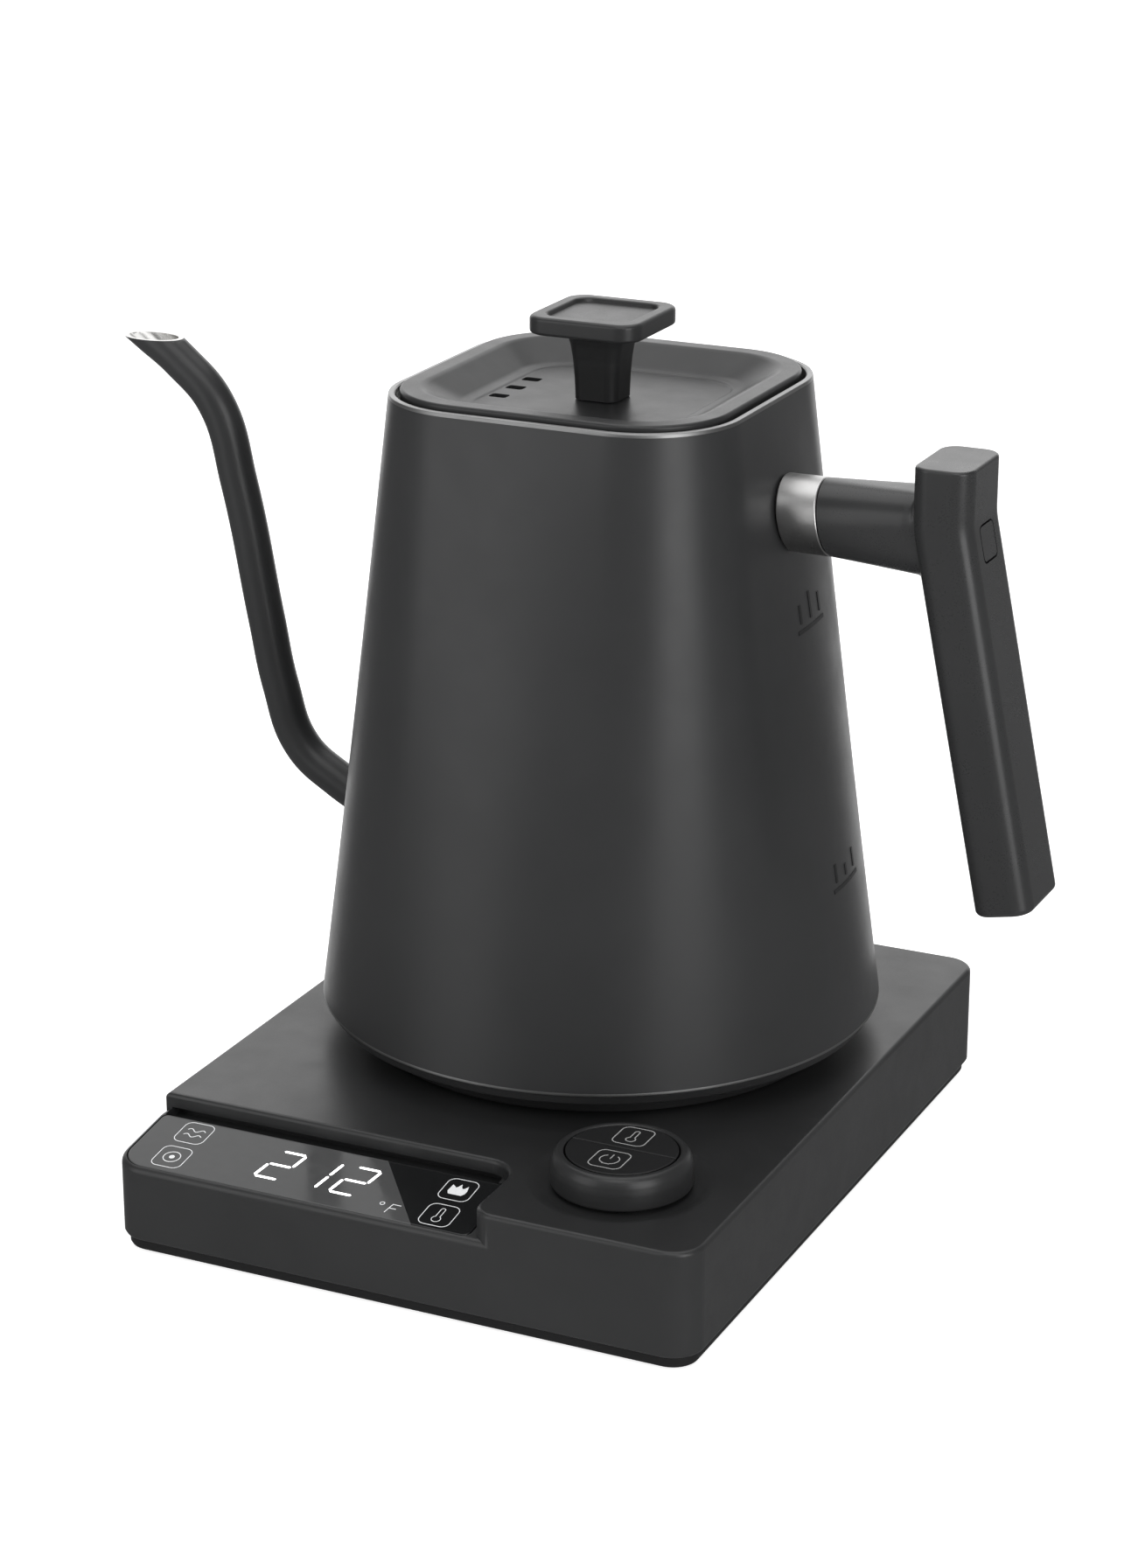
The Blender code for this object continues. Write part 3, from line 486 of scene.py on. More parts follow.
def surface(name, color, roughness, metallic=0.0, specular=0.5, grain=0.25, depth=0.004,
            stretch=(1.0, 1.0, 1.0), tone=0.12, uneven=0.05, edge_wear_and_highlight=0.25, edge_wear_and_highlight_color=None):
    """A surface with grain, uneven gloss, tone variation and lighter edges, partly wear and partly
    a painted edge highlight.
    """
    graph = Graph(name)
    broad = graph.noise(38.0, 4.0)
    fine = graph.noise(grain, 2.0, stretch)
    darker, lighter = scaled(color, 1.0 - tone), scaled(color, 1.0 + tone)
    toned = graph.mix(graph.spread(broad, 0.0, 1.0), darker, lighter)
    speckled = graph.mix(graph.spread(fine, 0.0, 0.5), toned, scaled(color, 1.0 + 1.5 * tone))
    # Edges are painted lighter here: partly wear, partly a painted highlight where rounded edges
    # catch the light.
    worn_and_highlit = graph.mix(graph.edges(0.5, edge_wear_and_highlight), speckled, edge_wear_and_highlight_color or scaled(color, 2.2))
    patches = graph.noise(9.0, 5.0, roughness=0.6)
    gloss = graph.add("ShaderNodeMath", operation="ADD")
    graph.link(graph.spread(patches, roughness - uneven, roughness + uneven), gloss.inputs[0])
    graph.link(graph.spread(fine, -0.03, 0.03), gloss.inputs[1])
    graph.shade(
        Base_Color=worn_and_highlit, Roughness=gloss.outputs["Value"], Normal=graph.bump(fine, depth),
        Metallic=metallic, Specular_IOR_Level=specular,
    )
    return graph.material


def glowing(name, color, strength):
    """A lit mark with a slightly uneven glow."""
    graph = Graph(name)
    uneven = graph.noise(0.6, 2.0)
    lit = graph.mix(graph.spread(uneven, 0.0, 1.0), scaled(color, 0.92), color)
    graph.shade(
        Base_Color=lit, Emission_Color=lit, Emission_Strength=strength,
        Roughness=graph.spread(uneven, 0.25, 0.4), Normal=graph.bump(uneven, 0.002),
    )
    return graph.material


# The wear colours below lighten each finish's edges: partly wear, partly a painted edge highlight.
STEEL = {"metallic": 1.0, "tone": 0.05}
BRUSHED = {**STEEL, "grain": 0.12, "depth": 0.0018, "edge_wear_and_highlight_color": (0.78, 0.775, 0.77)}
PANE = {"grain": 2.5, "depth": 0.0004, "uneven": 0.03}

PAINT = surface(
    "charcoal_powder_coat", (0.026, 0.0264, 0.0272), 0.37, grain=0.22, depth=0.0035, tone=0.1,
    uneven=0.03, edge_wear_and_highlight=0.35, edge_wear_and_highlight_color=(0.09, 0.09, 0.092),
)
PLASTIC = surface(
    "charcoal_moulded_plastic", (0.025, 0.0254, 0.026), 0.36, grain=0.3, depth=0.005,
    uneven=0.035, edge_wear_and_highlight=0.3, edge_wear_and_highlight_color=(0.06, 0.06, 0.062),
)
GRIP_PLASTIC = surface(
    "glossy_grip_plastic", (0.028, 0.0284, 0.029), 0.30, grain=0.3, depth=0.003, tone=0.1,
    uneven=0.03, edge_wear_and_highlight_color=(0.055, 0.055, 0.057),
)
DARK_PLASTIC = surface(
    "black_moulded_plastic", (0.008, 0.008, 0.0085), 0.5, grain=0.35, depth=0.006,
)
BUTTON_PLASTIC = surface(
    "button_plastic", (0.011, 0.0112, 0.0118), 0.46, specular=0.45, grain=0.2, depth=0.003,
    tone=0.1, uneven=0.03, edge_wear_and_highlight_color=(0.05, 0.05, 0.052),
)
GLASS = surface(
    "black_display_glass", (0.010, 0.0105, 0.011), 0.09, tone=0.1, edge_wear_and_highlight=0.15,
    edge_wear_and_highlight_color=(0.05, 0.052, 0.055), **PANE,
)
# A lighter grey area of the glass: a painted reflection of the bright surroundings, split from the
# dark glass along a diagonal.
PAINTED_REFLECTION_FILM = surface(
    "display_painted_reflection", (0.095, 0.096, 0.097), 0.09, tone=0.05, edge_wear_and_highlight=0.0, **PANE,
)
STEEL_ROUND = surface(
    "brushed_steel_round_z", (0.60, 0.595, 0.585), 0.27, stretch=(0.03, 0.03, 1.0), edge_wear_and_highlight=0.2,
    **BRUSHED,
)
STEEL_COLLAR = surface(
    "brushed_steel_round_x", (0.60, 0.597, 0.592), 0.34, stretch=(1.0, 0.03, 0.03), edge_wear_and_highlight=0.04,
    **BRUSHED,
)
RIM_STEEL = surface(
    "satin_steel_edge", (0.32, 0.32, 0.32), 0.40, grain=0.2, depth=0.002, edge_wear_and_highlight=0.1,
    edge_wear_and_highlight_color=(0.35, 0.35, 0.35), **STEEL,
)
SCREW_STEEL = surface(
    "plated_screw_steel", (0.63, 0.625, 0.61), 0.22, grain=0.3, depth=0.002, edge_wear_and_highlight=0.3,
    edge_wear_and_highlight_color=(0.8, 0.8, 0.8), **STEEL,
)
ALUMINIUM = surface("cast_aluminium", (0.5, 0.5, 0.5), 0.5, metallic=1.0, grain=0.6, depth=0.02)
RUBBER = surface("black_rubber", (0.014, 0.014, 0.014), 0.8, specular=0.3, grain=0.5, depth=0.01)
SILICONE = surface(
    "grey_silicone", (0.22, 0.22, 0.22), 0.65, specular=0.4, grain=0.6, depth=0.006,
)
BOARD = surface("green_board", (0.02, 0.11, 0.05), 0.4, grain=1.2, depth=0.01, tone=0.25)
LIGHT_PLASTIC = surface("white_plastic", (0.6, 0.6, 0.58), 0.45, grain=0.4, depth=0.005, tone=0.05)
PRINT = surface(
    "pale_print", (0.55, 0.55, 0.55), 0.5, grain=0.3, depth=0.002, tone=0.08, edge_wear_and_highlight=0.0,
)
MARK = surface("raised_mark", (0.010, 0.010, 0.0105), 0.5, depth=0.003)
LIT = glowing("lit_segment", (1.0, 1.0, 1.0), 3.2)
SYMBOL = glowing("lit_symbol", (0.8, 0.81, 0.82), 0.4)

NODE_FINISH = {
    "paint": PAINT, "plastic": PLASTIC, "dark_plastic": DARK_PLASTIC, "glass": GLASS,
    "steel": STEEL_ROUND, "screw_steel": SCREW_STEEL, "aluminium": ALUMINIUM, "rubber": RUBBER,
    "silicone": SILICONE, "board": BOARD, "light_plastic": LIGHT_PLASTIC,
}


def dress_cad_nodes():
    """Give every CAD node its procedural finish."""
    slot_of = {part["node"]: part["material_slot"] for part in frame["record"]["subparts"]}
    for name, node in frame["nodes"].items():
        node.data.materials.clear()
        node.data.materials.append(NODE_FINISH[slot_of[name]])
        for polygon in node.data.polygons:
            polygon.material_index = 0


# ---- base -----------------------------------------------------------------------------

def ledge_height(y):
    """Height of the sloping ledge that carries the display."""
    return LEDGE_BACK_HEIGHT + LEDGE_SLOPE * (y - LEDGE_BACK)


def notch_outline():
    """The space cut out of the plate above the display."""
    inner, outer = 7.5, 5.5
    corner = arc((NOTCH_RIGHT - inner, LIP_FRONT - inner), inner, 0.0, 90.0, 16)
    shoulder = arc((NOTCH_RIGHT + outer, BASE_FRONT + outer), outer, 264.0, 180.0, 16)
    left, front = BASE_LEFT - 10.0, BASE_FRONT - 10.0
    return [(left, front), (NOTCH_RIGHT + outer, front)] + shoulder + corner + [(left, LIP_FRONT)]


def glass_outline():
    """The display glass: its corners follow the housing's."""
    back_right = arc((NOTCH_RIGHT - 7.5, LIP_FRONT - 7.5), 6.5, 0.0, 42.0, 10)
    back_left = arc((-71.9, GLASS_BACK - 1.5), 1.5, 90.0, 180.0, 6)
    reach = BASE_CORNER - 1.5
    front_left = arc((BASE_LEFT + BASE_CORNER, BASE_FRONT + BASE_CORNER), reach, 180.0, 270.0, 14)
    front_right = arc((17.0, -111.0), 2.0, 270.0, 360.0, 8)
    end = back_right[-1][0]
    return back_right + [(end, GLASS_BACK)] + back_left + front_left + front_right


def upright(name, radius, low, high, x=0.0, y=0.0, sides=48):
    profile = [(0.0, high), (radius, high), (radius, low), (0.0, low)]
    return lathe(name, profile, (x, y), sides=sides)


def build_housing():
    outline = rounded_outline(BASE_LEFT, BASE_RIGHT, BASE_FRONT, BASE_BACK, BASE_CORNER, 16)
    levels = [(BASE_SKIRT, 0.9), (BASE_SKIRT + 0.35, 0.35), (BASE_SKIRT + 1.0, 0.0)]
    block = prism("housing", outline, levels + edge_levels(BASE_TOP, EDGE))
    drop = LEDGE_EDGE + 0.2
    notch_levels = [(lambda y: ledge_height(y) - drop, 0.0)] + edge_levels(BASE_TOP, EDGE, -1.0)
    notch_levels.append((BASE_TOP + 2.0, -EDGE))
    notch = prism("notch", notch_outline(), notch_levels)
    slab_outline = rounded_outline(
        BASE_LEFT + 0.01, NOTCH_RIGHT + 16.0, BASE_FRONT + 0.01, LIP_FRONT + 4.0, BASE_CORNER, 16,
    )
    slab_levels = [(lambda y: ledge_height(y) - drop - 1.0, 0.0)]
    slab = prism("slab", slab_outline, slab_levels + edge_levels(ledge_height, LEDGE_EDGE))
    slot = box_mesh("slot", (-73.3, GLASS_BACK, 24.3), (16.0, -85.0, LIP_UNDERSIDE))
    pocket_floor = GLASS_THICKNESS + GAP
    pocket = prism("pocket", glass_outline(), [
        (lambda y: ledge_height(y) - pocket_floor, -GAP), (lambda y: ledge_height(y) + 1.0, -GAP),
    ])
    window = box_mesh("window", (-57.0, -109.0, 18.0), (-13.0, -95.0, 25.0))
    left, right = BASE_LEFT + SHELL, BASE_RIGHT - SHELL
    front, back = BASE_FRONT + SHELL, BASE_BACK - SHELL
    top = BASE_TOP - SHELL
    hollows = []
    for sides, low, high in (
        ((left, right, -83.0, back), 0.0, top),
        ((NOTCH_RIGHT + SHELL, right - 0.1, front, -70.0), 1.0, top - 0.1),
        ((left + 0.1, right - 0.2, front + 0.1, -70.0), 2.0, 20.0),
    ):
        hollow = rounded_outline(*sides, BASE_CORNER - SHELL, 8)
        hollows.append(prism("hollow", hollow, [(low, 0.0), (high, 0.0)]))
    well_profile = [
        (0.0, 31.5), (25.0, 31.5), (22.6, BASE_TOP + 0.02), (21.2, 30.25), (19.4, 29.65),
        (17.6, 29.25), (14.4, 29.2), (14.4, 26.0), (0.0, 26.0),
    ]
    well = lathe("well", well_profile, (DIAL_X, DIAL_Y))
    tower_hole = upright("tower_hole", 12.4, 26.0, 32.0, sides=96)
    steps = [("DIFFERENCE", notch), ("UNION", slab)]
    steps += [("DIFFERENCE", tool) for tool in (slot, pocket, window, *hollows, well, tower_hole)]
    housing = carve(block, *steps)
    along_y = Matrix.Translation((0.0, BASE_BACK, 17.0)) @ Matrix.Rotation(-math.pi / 2.0, 4, "X")
    gland = [(0.0, 3.0), (5.5, 3.0), (5.5, -1.0), (4.2, -1.0), (4.2, -6.0), (0.0, -6.0)]
    housing = cut(housing, lathe("gland", gland, sides=48, place=along_y))
    piece("housing_shell", housing, [PLASTIC], "base", ["base_housing"])


def build_bottom():
    inset = 1.3
    outline = rounded_outline(
        BASE_LEFT + inset, BASE_RIGHT - inset, BASE_FRONT + inset, BASE_BACK - inset,
        BASE_CORNER - inset,
    )
    levels = [(1.0, 0.8), (1.25, 0.35), (1.9, 0.0), (BASE_SKIRT - GAP, 0.0)]
    wells = []
    well = [(0.0, 5.0), (1.8, 5.0), (1.8, 2.5), (3.2, 2.5), (3.2, 0.0), (0.0, 0.0)]
    posts = [(-POST_X, POST_FRONT), (POST_X, POST_FRONT), (POST_X, POST_BACK), (-POST_X, POST_BACK)]
    for post in posts:
        wells.append(lathe("well", well, post, sides=32))
    plate = cut(prism("bottom_plate", outline, levels), *wells)
    piece("bottom_plate", plate, [DARK_PLASTIC], "base", ["base_bottom_cover"])


def build_connector():
    tower = [
        (0.0, 37.5), (1.1, 37.5), (1.6, 37.0), (1.6, 31.0), (8.8, 31.0), (8.8, 38.6), (9.2, 39.0),
        (11.4, 39.0), (12.0, 38.2), (12.0, 27.6), (22.0, 27.6), (22.0, 25.0), (17.0, 25.0),
        (17.0, 15.0), (0.0, 15.0),
    ]
    mesh = lathe("connector_tower", soften(tower, 0.25))
    piece("connector_tower", mesh, [DARK_PLASTIC], "base", ["base_connector"])
    socket = [
        (0.0, 43.0), (15.4, 43.0), (16.0, 42.4), (16.0, 31.6), (12.7, 31.6), (12.7, 40.5),
        (8.2, 40.5), (8.2, 31.6), (2.4, 31.6), (2.4, 39.5), (0.0, 39.5),
    ]
    mesh = lathe("socket_cup", soften(socket, 0.25))
    piece("socket_cup", mesh, [DARK_PLASTIC], "kettle_seat", ["connector_socket"])


def build_display_glass():
    levels = [(lambda y: ledge_height(y) - GLASS_THICKNESS, 0.0)]
    levels += edge_levels(ledge_height, 0.25, steps=3)
    mesh = prism("display_pane", glass_outline(), levels)
    # A slit too thin to see parts the faces where the painted reflection, a lighter film on the
    # glass, ends.
    seam_back, seam_front, slit_width = (-13.0, -91.0), (5.3, -114.0), 0.01
    front_end = (seam_front[0] + slit_width, seam_front[1])
    back_end = (seam_back[0] + slit_width, seam_back[1])
    slit_outline = [seam_front, front_end, back_end, seam_back]
    mesh = cut(mesh, prism("slit", slit_outline, [(10.0, 0.0), (40.0, 0.0)]))
    for polygon in mesh.polygons:
        place = (polygon.center - world((0.0, 0.0, 0.0))) * 1000.0
        share = (place.y - seam_front[1]) / (seam_back[1] - seam_front[1])
        seam = seam_front[0] + (seam_back[0] - seam_front[0]) * share
        polygon.material_index = 1 if place.x < seam else 0
    piece("display_pane", mesh, [GLASS, PAINTED_REFLECTION_FILM], "base", ["display_glass"])


# ---- graphics -------------------------------------------------------------------------

def on_ledge(x, y, lift):
    return (x, y, ledge_height(y) + lift)


def on_dial(x, y, lift):
    return (DIAL_X + x, DIAL_Y + y, DIAL_FACE + lift)


def ribbon(points, width, closed=False):
    """Outline of a stroke of even width, as its left and right edges."""
    left, right = [], []
    last = len(points) - 1
    for index, point in enumerate(points):
        here = Vector(point)
        before = Vector(points[index - 1]) if closed or index else here * 2.0 - Vector(points[1])
        after = Vector(points[(index + 1) % len(points)])
        if not closed and index == last:
            after = here * 2.0 - Vector(points[index - 1])
        first = (here - before).normalized()
        second = (after - here).normalized()
        side = Vector((-first.y - second.y, first.x + second.x)).normalized()
        reach = width / 2.0 / max(0.4, side.dot(Vector((-first.y, first.x))))
        left.append(here + side * reach)
        right.append(here - side * reach)
    return left, right


def stroke_mesh(points, width, surface_map, closed=False, low=-0.05, high=0.03):
    """A thin raised stroke laid on a surface."""
    left, right = ribbon(points, width, closed)
    rings = []
    for a, b in zip(left, right):
        rings.append([
            surface_map(a.x, a.y, low), surface_map(b.x, b.y, low),
            surface_map(b.x, b.y, high), surface_map(a.x, a.y, high),
        ])
    return loft("stroke", rings, closed)


def patch_mesh(points, surface_map, low=-0.05, high=0.03):
    """A thin raised patch laid on a surface."""
    rings = [[surface_map(x, y, lift) for x, y in points] for lift in (low, high)]
    return loft("patch", rings)


def joined(name, meshes):
    solid = bmesh.new()
    for mesh in meshes:
        solid.from_mesh(mesh)
        bpy.data.meshes.remove(mesh)
    mesh = bpy.data.meshes.new(name)
    solid.to_mesh(mesh)
    solid.free()
    return mesh


def moved(points, x, y, scale=1.0):
    return [(x + px * scale, y + py * scale) for px, py in points]


def frame_stroke(x, y, half_x, half_y, radius, width, surface_map):
    outline = rounded_outline(x - half_x, x + half_x, y - half_y, y + half_y, radius, 8)
    return stroke_mesh(outline, width, surface_map, closed=True)


def thermometer(x, y, scale, width, surface_map):
    """A bulb with a tall round-topped tube."""
    bulb = arc((0.0, -1.7), 1.15, 120.0, 420.0, 20)
    tube_top = arc((0.0, 2.3), 0.58, 0.0, 180.0, 8)
    return stroke_mesh(moved(bulb + tube_top, x, y, scale), width, surface_map, closed=True)


def segment(start, end, width):
    """A lit bar with pointed ends."""
    start, end = Vector(start), Vector(end)
    along = (end - start).normalized()
    across = Vector((-along.y, along.x)) * width / 2.0
    shift = along * width * 0.45
    near, far = start + shift, end - shift
    return [start, near - across, far - across, end, far + across, near + across]


def digit(shape, x):
    """One slanted seven-segment digit; x is its lower left corner."""
    wide, tall, slant, front = 6.2, 11.2, 1.9, -107.4
    def corner(column, row):
        return (x + wide * column + slant * row / 2.0, front + tall * row / 2.0)
    bars = {
        "top": ((0, 2), (1, 2)), "middle": ((0, 1), (1, 1)), "bottom": ((0, 0), (1, 0)),
        "upper_right": ((1, 1), (1, 2)), "lower_right": ((1, 0), (1, 1)),
        "upper_left": ((0, 1), (0, 2)), "lower_left": ((0, 0), (0, 1)),
    }
    meshes = []
    for bar in shape:
        start, end = Vector(corner(*bars[bar][0])), Vector(corner(*bars[bar][1]))
        gap = (end - start).normalized() * 0.25
        meshes.append(patch_mesh(segment(start + gap, end - gap, 0.72), on_ledge))
    return meshes


def build_display_graphics():
    two = ("top", "upper_right", "middle", "lower_left", "bottom")
    one = ("upper_right", "lower_right")
    lit = digit(two, -39.8) + digit(one, -29.9) + digit(two, -19.9)
    piece("display_digits", joined("display_digits", lit), [LIT], "base")
    small = 0.22
    degree = stroke_mesh(arc((-5.6, -107.7), 0.55, 0.0, 345.0, 14), small, on_ledge, closed=True)
    letter = [
        stroke_mesh([(-3.55, -110.8), (-3.0, -107.3), (-0.9, -107.3)], small, on_ledge),
        stroke_mesh([(-3.2, -108.9), (-1.5, -108.9)], small, on_ledge),
    ]
    unit = joined("display_unit", [degree] + letter)
    piece("display_unit", unit, [SYMBOL], "base")
    line = 0.19
    frames = [(-62.2, -96.5), (-62.1, -107.2), (8.6, -96.9), (9.0, -107.6)]
    symbols = [frame_stroke(x, y, 3.9, 4.2, 1.9, line, on_ledge) for x, y in frames]
    symbols.append(thermometer(9.0, -107.6, 0.95, 0.18, on_ledge))
    # Two waves stand for the water's temperature, a ring with a dot for the wanted one.
    wave = [(step * 0.4 - 2.4, 0.55 * math.sin(step * math.tau / 8.0)) for step in range(13)]
    for lift in (-1.1, 1.1):
        symbols.append(stroke_mesh(moved(wave, -62.2, -96.5 + lift), 0.22, on_ledge))
    ring = arc((-62.1, -107.2), 2.1, 0.0, 345.0, 24)
    symbols.append(stroke_mesh(ring, 0.22, on_ledge, closed=True))
    symbols.append(patch_mesh(arc((-62.1, -107.2), 0.7, 0.0, 337.5, 15), on_ledge))
    flame = [
        (-1.9, -2.1), (1.6, -2.1), (2.2, -1.2), (2.3, 0.0), (1.8, 2.1), (1.2, 0.9), (0.7, 0.7),
        (0.2, 1.5), (-0.1, 2.5), (-0.7, 1.2), (-1.1, 0.7), (-1.6, 1.3), (-2.3, 1.8), (-2.4, 0.2),
        (-2.5, -1.0),
    ]
    symbols.append(patch_mesh(moved(flame, 8.6, -96.9, 0.95), on_ledge))
    shown = joined("display_symbols", symbols)
    piece("display_symbols", shown, [SYMBOL], "base")


def build_button_graphics():
    line = 0.26
    unit = [
        frame_stroke(-0.4, 7.3, 4.0, 4.5, 1.8, line, on_dial),
        thermometer(-0.4, 7.3, 1.0, 0.26, on_dial),
    ]
    piece("unit_symbol", joined("unit_symbol", unit), [PRINT], "unit_button")
    x, y = -0.4, -6.0
    power = [
        frame_stroke(x, y, 4.0, 4.4, 1.8, line, on_dial),
        stroke_mesh(arc((x, y), 2.3, 122.0, 250.0, 18), line, on_dial),
        stroke_mesh(arc((x, y), 2.3, 290.0, 418.0, 18), line, on_dial),
        stroke_mesh([(x, y + 0.3), (x, y + 2.6)], line, on_dial),
        stroke_mesh([(x - 1.0, y - 2.35), (x + 1.0, y - 2.35)], line, on_dial),
    ]
    power = joined("power_symbol", power)
    piece("power_symbol", power, [PRINT], "power_button")


# ---- dial -----------------------------------------------------------------------------

def build_dial():
    ring = [
        (13.4, DIAL_FACE), (14.6, DIAL_FACE), (15.5, 37.5), (16.2, 36.2), (16.5, 34.2),
        (16.5, 30.2), (14.0, 30.2), (14.0, 24.5), (12.6, 24.5), (12.6, 35.6), (13.4, 35.6),
    ]
    ring = soften(ring, 0.6, 4, closed=True)
    mesh = lathe("dial_collar", ring, (DIAL_X, DIAL_Y), closed=True, sides=192)
    piece("dial_collar", mesh, [PLASTIC], "dial", ["dial_ring"])
    for name, side in (("unit_button", 1.0), ("power_button", -1.0)):
        edge = BUTTON_SPLIT * side + 0.15
        limit = math.degrees(math.asin(edge / BUTTON_RADIUS))
        outline = arc((0.0, 0.0), BUTTON_RADIUS, limit, 180.0 - limit, 72)
        outline = [(DIAL_X + x * side, DIAL_Y + y * side) for x, y in outline]
        cap = prism(name, outline, [(36.3, 0.0)] + edge_levels(DIAL_FACE, 0.3, steps=4))
        stem = upright("stem", 1.5, 29.9, 37.0, DIAL_X, DIAL_Y + STEM_OFFSET * side)
        cap = carve(cap, ("UNION", stem))
        piece(name + "_cap", cap, [BUTTON_PLASTIC], name, [name])


# ---- kettle ---------------------------------------------------------------------------

def wall_point(angle, height, inset=0.0):
    """The body's wall: a straight blend of the foot circle and the rounded square rim."""
    share = (height - FOOT_HEIGHT) / (RIM_HEIGHT - FOOT_HEIGHT)
    rim = square_radius(angle, RIM_HALF - inset, RIM_CORNER - inset)
    radius = (1.0 - share) * (FOOT_RADIUS - inset) + share * rim
    return (radius * math.cos(angle), radius * math.sin(angle), height)


def wall_ring(height, inset, steps=BODY_STEPS):
    return [wall_point(math.tau * step / steps, height, inset) for step in range(steps)]


def build_body():
    straight = [FOOT_HEIGHT + 0.75, 52.0, 78.0, 104.0, 130.0, 156.0, 182.0, RIM_HEIGHT - 0.9]
    foot = [(0.06, 0.5), (0.0, 0.25), (0.1, 0.07), (0.3, 0.0)]
    rim = [(-0.35, 0.02), (-0.1, 0.14), (0.0, 0.4), (0.0, 1.3)]
    rings = [wall_ring(FOOT_HEIGHT + rise, inset) for rise, inset in foot]
    rings += [wall_ring(height, 0.0) for height in straight]
    painted_from, painted_to = len(foot), len(rings) - 1
    rings += [wall_ring(RIM_HEIGHT + rise, inset) for rise, inset in rim]
    inside_from = len(rings)
    inner_half, inner_corner = RIM_HALF - 1.6, RIM_CORNER - 1.6
    for half, corner, height in (
        (inner_half, inner_corner, RIM_HEIGHT - 0.3),
        (inner_half, inner_corner, SEAT_HEIGHT + 0.2),
        (inner_half - 0.2, inner_corner - 0.2, SEAT_HEIGHT),
        (SEAT_HALF + 0.3, SEAT_CORNER, SEAT_HEIGHT),
        (SEAT_HALF, SEAT_CORNER, SEAT_HEIGHT - 0.3),
        (SEAT_HALF, SEAT_CORNER, SEAT_HEIGHT - 1.2),
    ):
        rings.append(square_ring(half, corner, height, BODY_STEPS))
    rings.append(wall_ring(SEAT_HEIGHT - 1.2, WALL))
    rings += [wall_ring(height, WALL) for height in reversed(straight[:-1])]
    rings.append(wall_ring(FOOT_HEIGHT + 0.06, WALL))
    slots = [1] * painted_from + [0] * (painted_to - painted_from)
    slots += [1] * (inside_from - painted_to) + [2] * (len(rings) - inside_from)
    mesh = loft("body_shell", rings, closed=True, slots=slots)
    tilt = Matrix.Translation((-64.0, 0.0, 76.7)) @ Matrix.Rotation(math.radians(-64.0), 4, "Y")
    outlet_profile = [(0.0, 8.0), (4.0, 8.0), (4.0, -8.0), (0.0, -8.0)]
    outlet = set_slot(lathe("outlet", outlet_profile, sides=48, place=tilt), 2)
    materials = [PAINT, RIM_STEEL, STEEL_ROUND]
    piece("body_shell", cut(mesh, outlet), materials, "kettle", ["kettle_body"])


def build_spout():
    path = [(x, 0.0, z) for x, z in SPOUT_PATH]
    swell = [1.0] * 7 + [1.0, 1.02, 1.03]
    start, end = path[0], path[-1]
    bore_start, bore_end = (start[0] - 3.0, 0.0, start[2] + 2.1), (end[0] + 6.0, 0.0, end[2] - 2.9)
    bore_path = [bore_start] + path[1:-1] + [bore_end]
    outer = tube("spout_tube", path, SPOUT_RADIUS, swell, 12)
    bore = set_slot(tube("bore", bore_path, SPOUT_RADIUS - SPOUT_WALL, swell, 11), 1)
    tip = set_slot(box_mesh("tip", (-150.0, -20.0, SPOUT_TIP_HEIGHT), (-100.0, 20.0, 220.0)), 1)
    wall = loft("wall", [wall_ring(height, -GAP, 128) for height in (50.0, 76.0, 120.0)])
    mesh = cut(outer, bore, tip, wall)
    materials, sharp = [PAINT, STEEL_ROUND], math.radians(50.0)
    piece("spout_tube", mesh, materials, "kettle", ["spout"], sharp=sharp)


def build_kettle_bottom():
    profile = [
        (66.4, 38.9), (68.9, 38.9), (68.2, 36.4), (61.5, 36.0), (60.0, 30.7), (56.0, 30.7),
        (55.0, 35.0), (17.2, 35.0), (17.2, 36.8), (65.0, 37.2),
    ]
    mesh = lathe("foot_cover", soften(profile, 0.5, 3, closed=True), closed=True, sides=BODY_STEPS)
    bores, screw_circle = [], 34.0
    for index in range(3):
        angle = math.radians(90.0 + 120.0 * index)
        x, y = screw_circle * math.cos(angle), screw_circle * math.sin(angle)
        bores.append(upright("bore", 1.5, 33.0, 43.0, x, y, 24))
    piece("foot_cover", cut(mesh, *bores), [PLASTIC], "kettle", ["kettle_bottom_cover"])


def lean(height):
    """How far an upright face that follows the body's wall stands off at a height."""
    return -WALL_LEAN * (height - ARM_HEIGHT)


def round_ring(place, radius, sides=96):
    ring = []
    for step in range(sides):
        angle = math.tau * step / sides
        height = ARM_HEIGHT + radius * math.sin(angle)
        ring.append((place + lean(height), radius * math.cos(angle), height))
    return ring


def grip_face(height):
    """Where the grip's side that faces the kettle stands at a height."""
    return GRIP_X - GRIP_HALF_X + max(0.0, GRIP_BEND - height) * math.tan(GRIP_LEAN)


def arm_ring(share, before_face, sides=96):
    """A section of the arm; near the grip it swells into a fillet, mostly below."""
    radius = 9.25 + 0.55 * share
    corner = radius * (1.0 - 0.3 * share)
    ring = []
    for step in range(sides):
        angle = math.tau * step / sides
        reach = square_radius(angle, radius, corner)
        rise = reach * math.sin(angle)
        fillet = 2.6 if rise < 0.0 else 1.0
        inside = min(max(fillet - before_face, 0.0), fillet)
        swell = fillet - math.sqrt(fillet * fillet - inside * inside)
        height = ARM_HEIGHT - 0.2 * share + rise * (1.0 + swell / radius)
        start = COLLAR_END + GAP + lean(height)
        face = grip_face(height)
        x = start + (face - before_face - start) * share if share < 1.0 else face - before_face
        ring.append((x, reach * math.cos(angle), height))
    return ring


def grip_ring(x, height, tilt, inset):
    """A section of the grip square to its axis."""
    outline = rounded_outline(-GRIP_HALF_X, GRIP_HALF_X, -GRIP_HALF_Y, GRIP_HALF_Y, GRIP_CORNER, 14)
    ring = []
    for across, y in inset_outline(outline, inset):
        ring.append((x + across * math.cos(tilt), y, height + across * math.sin(tilt)))
    return ring


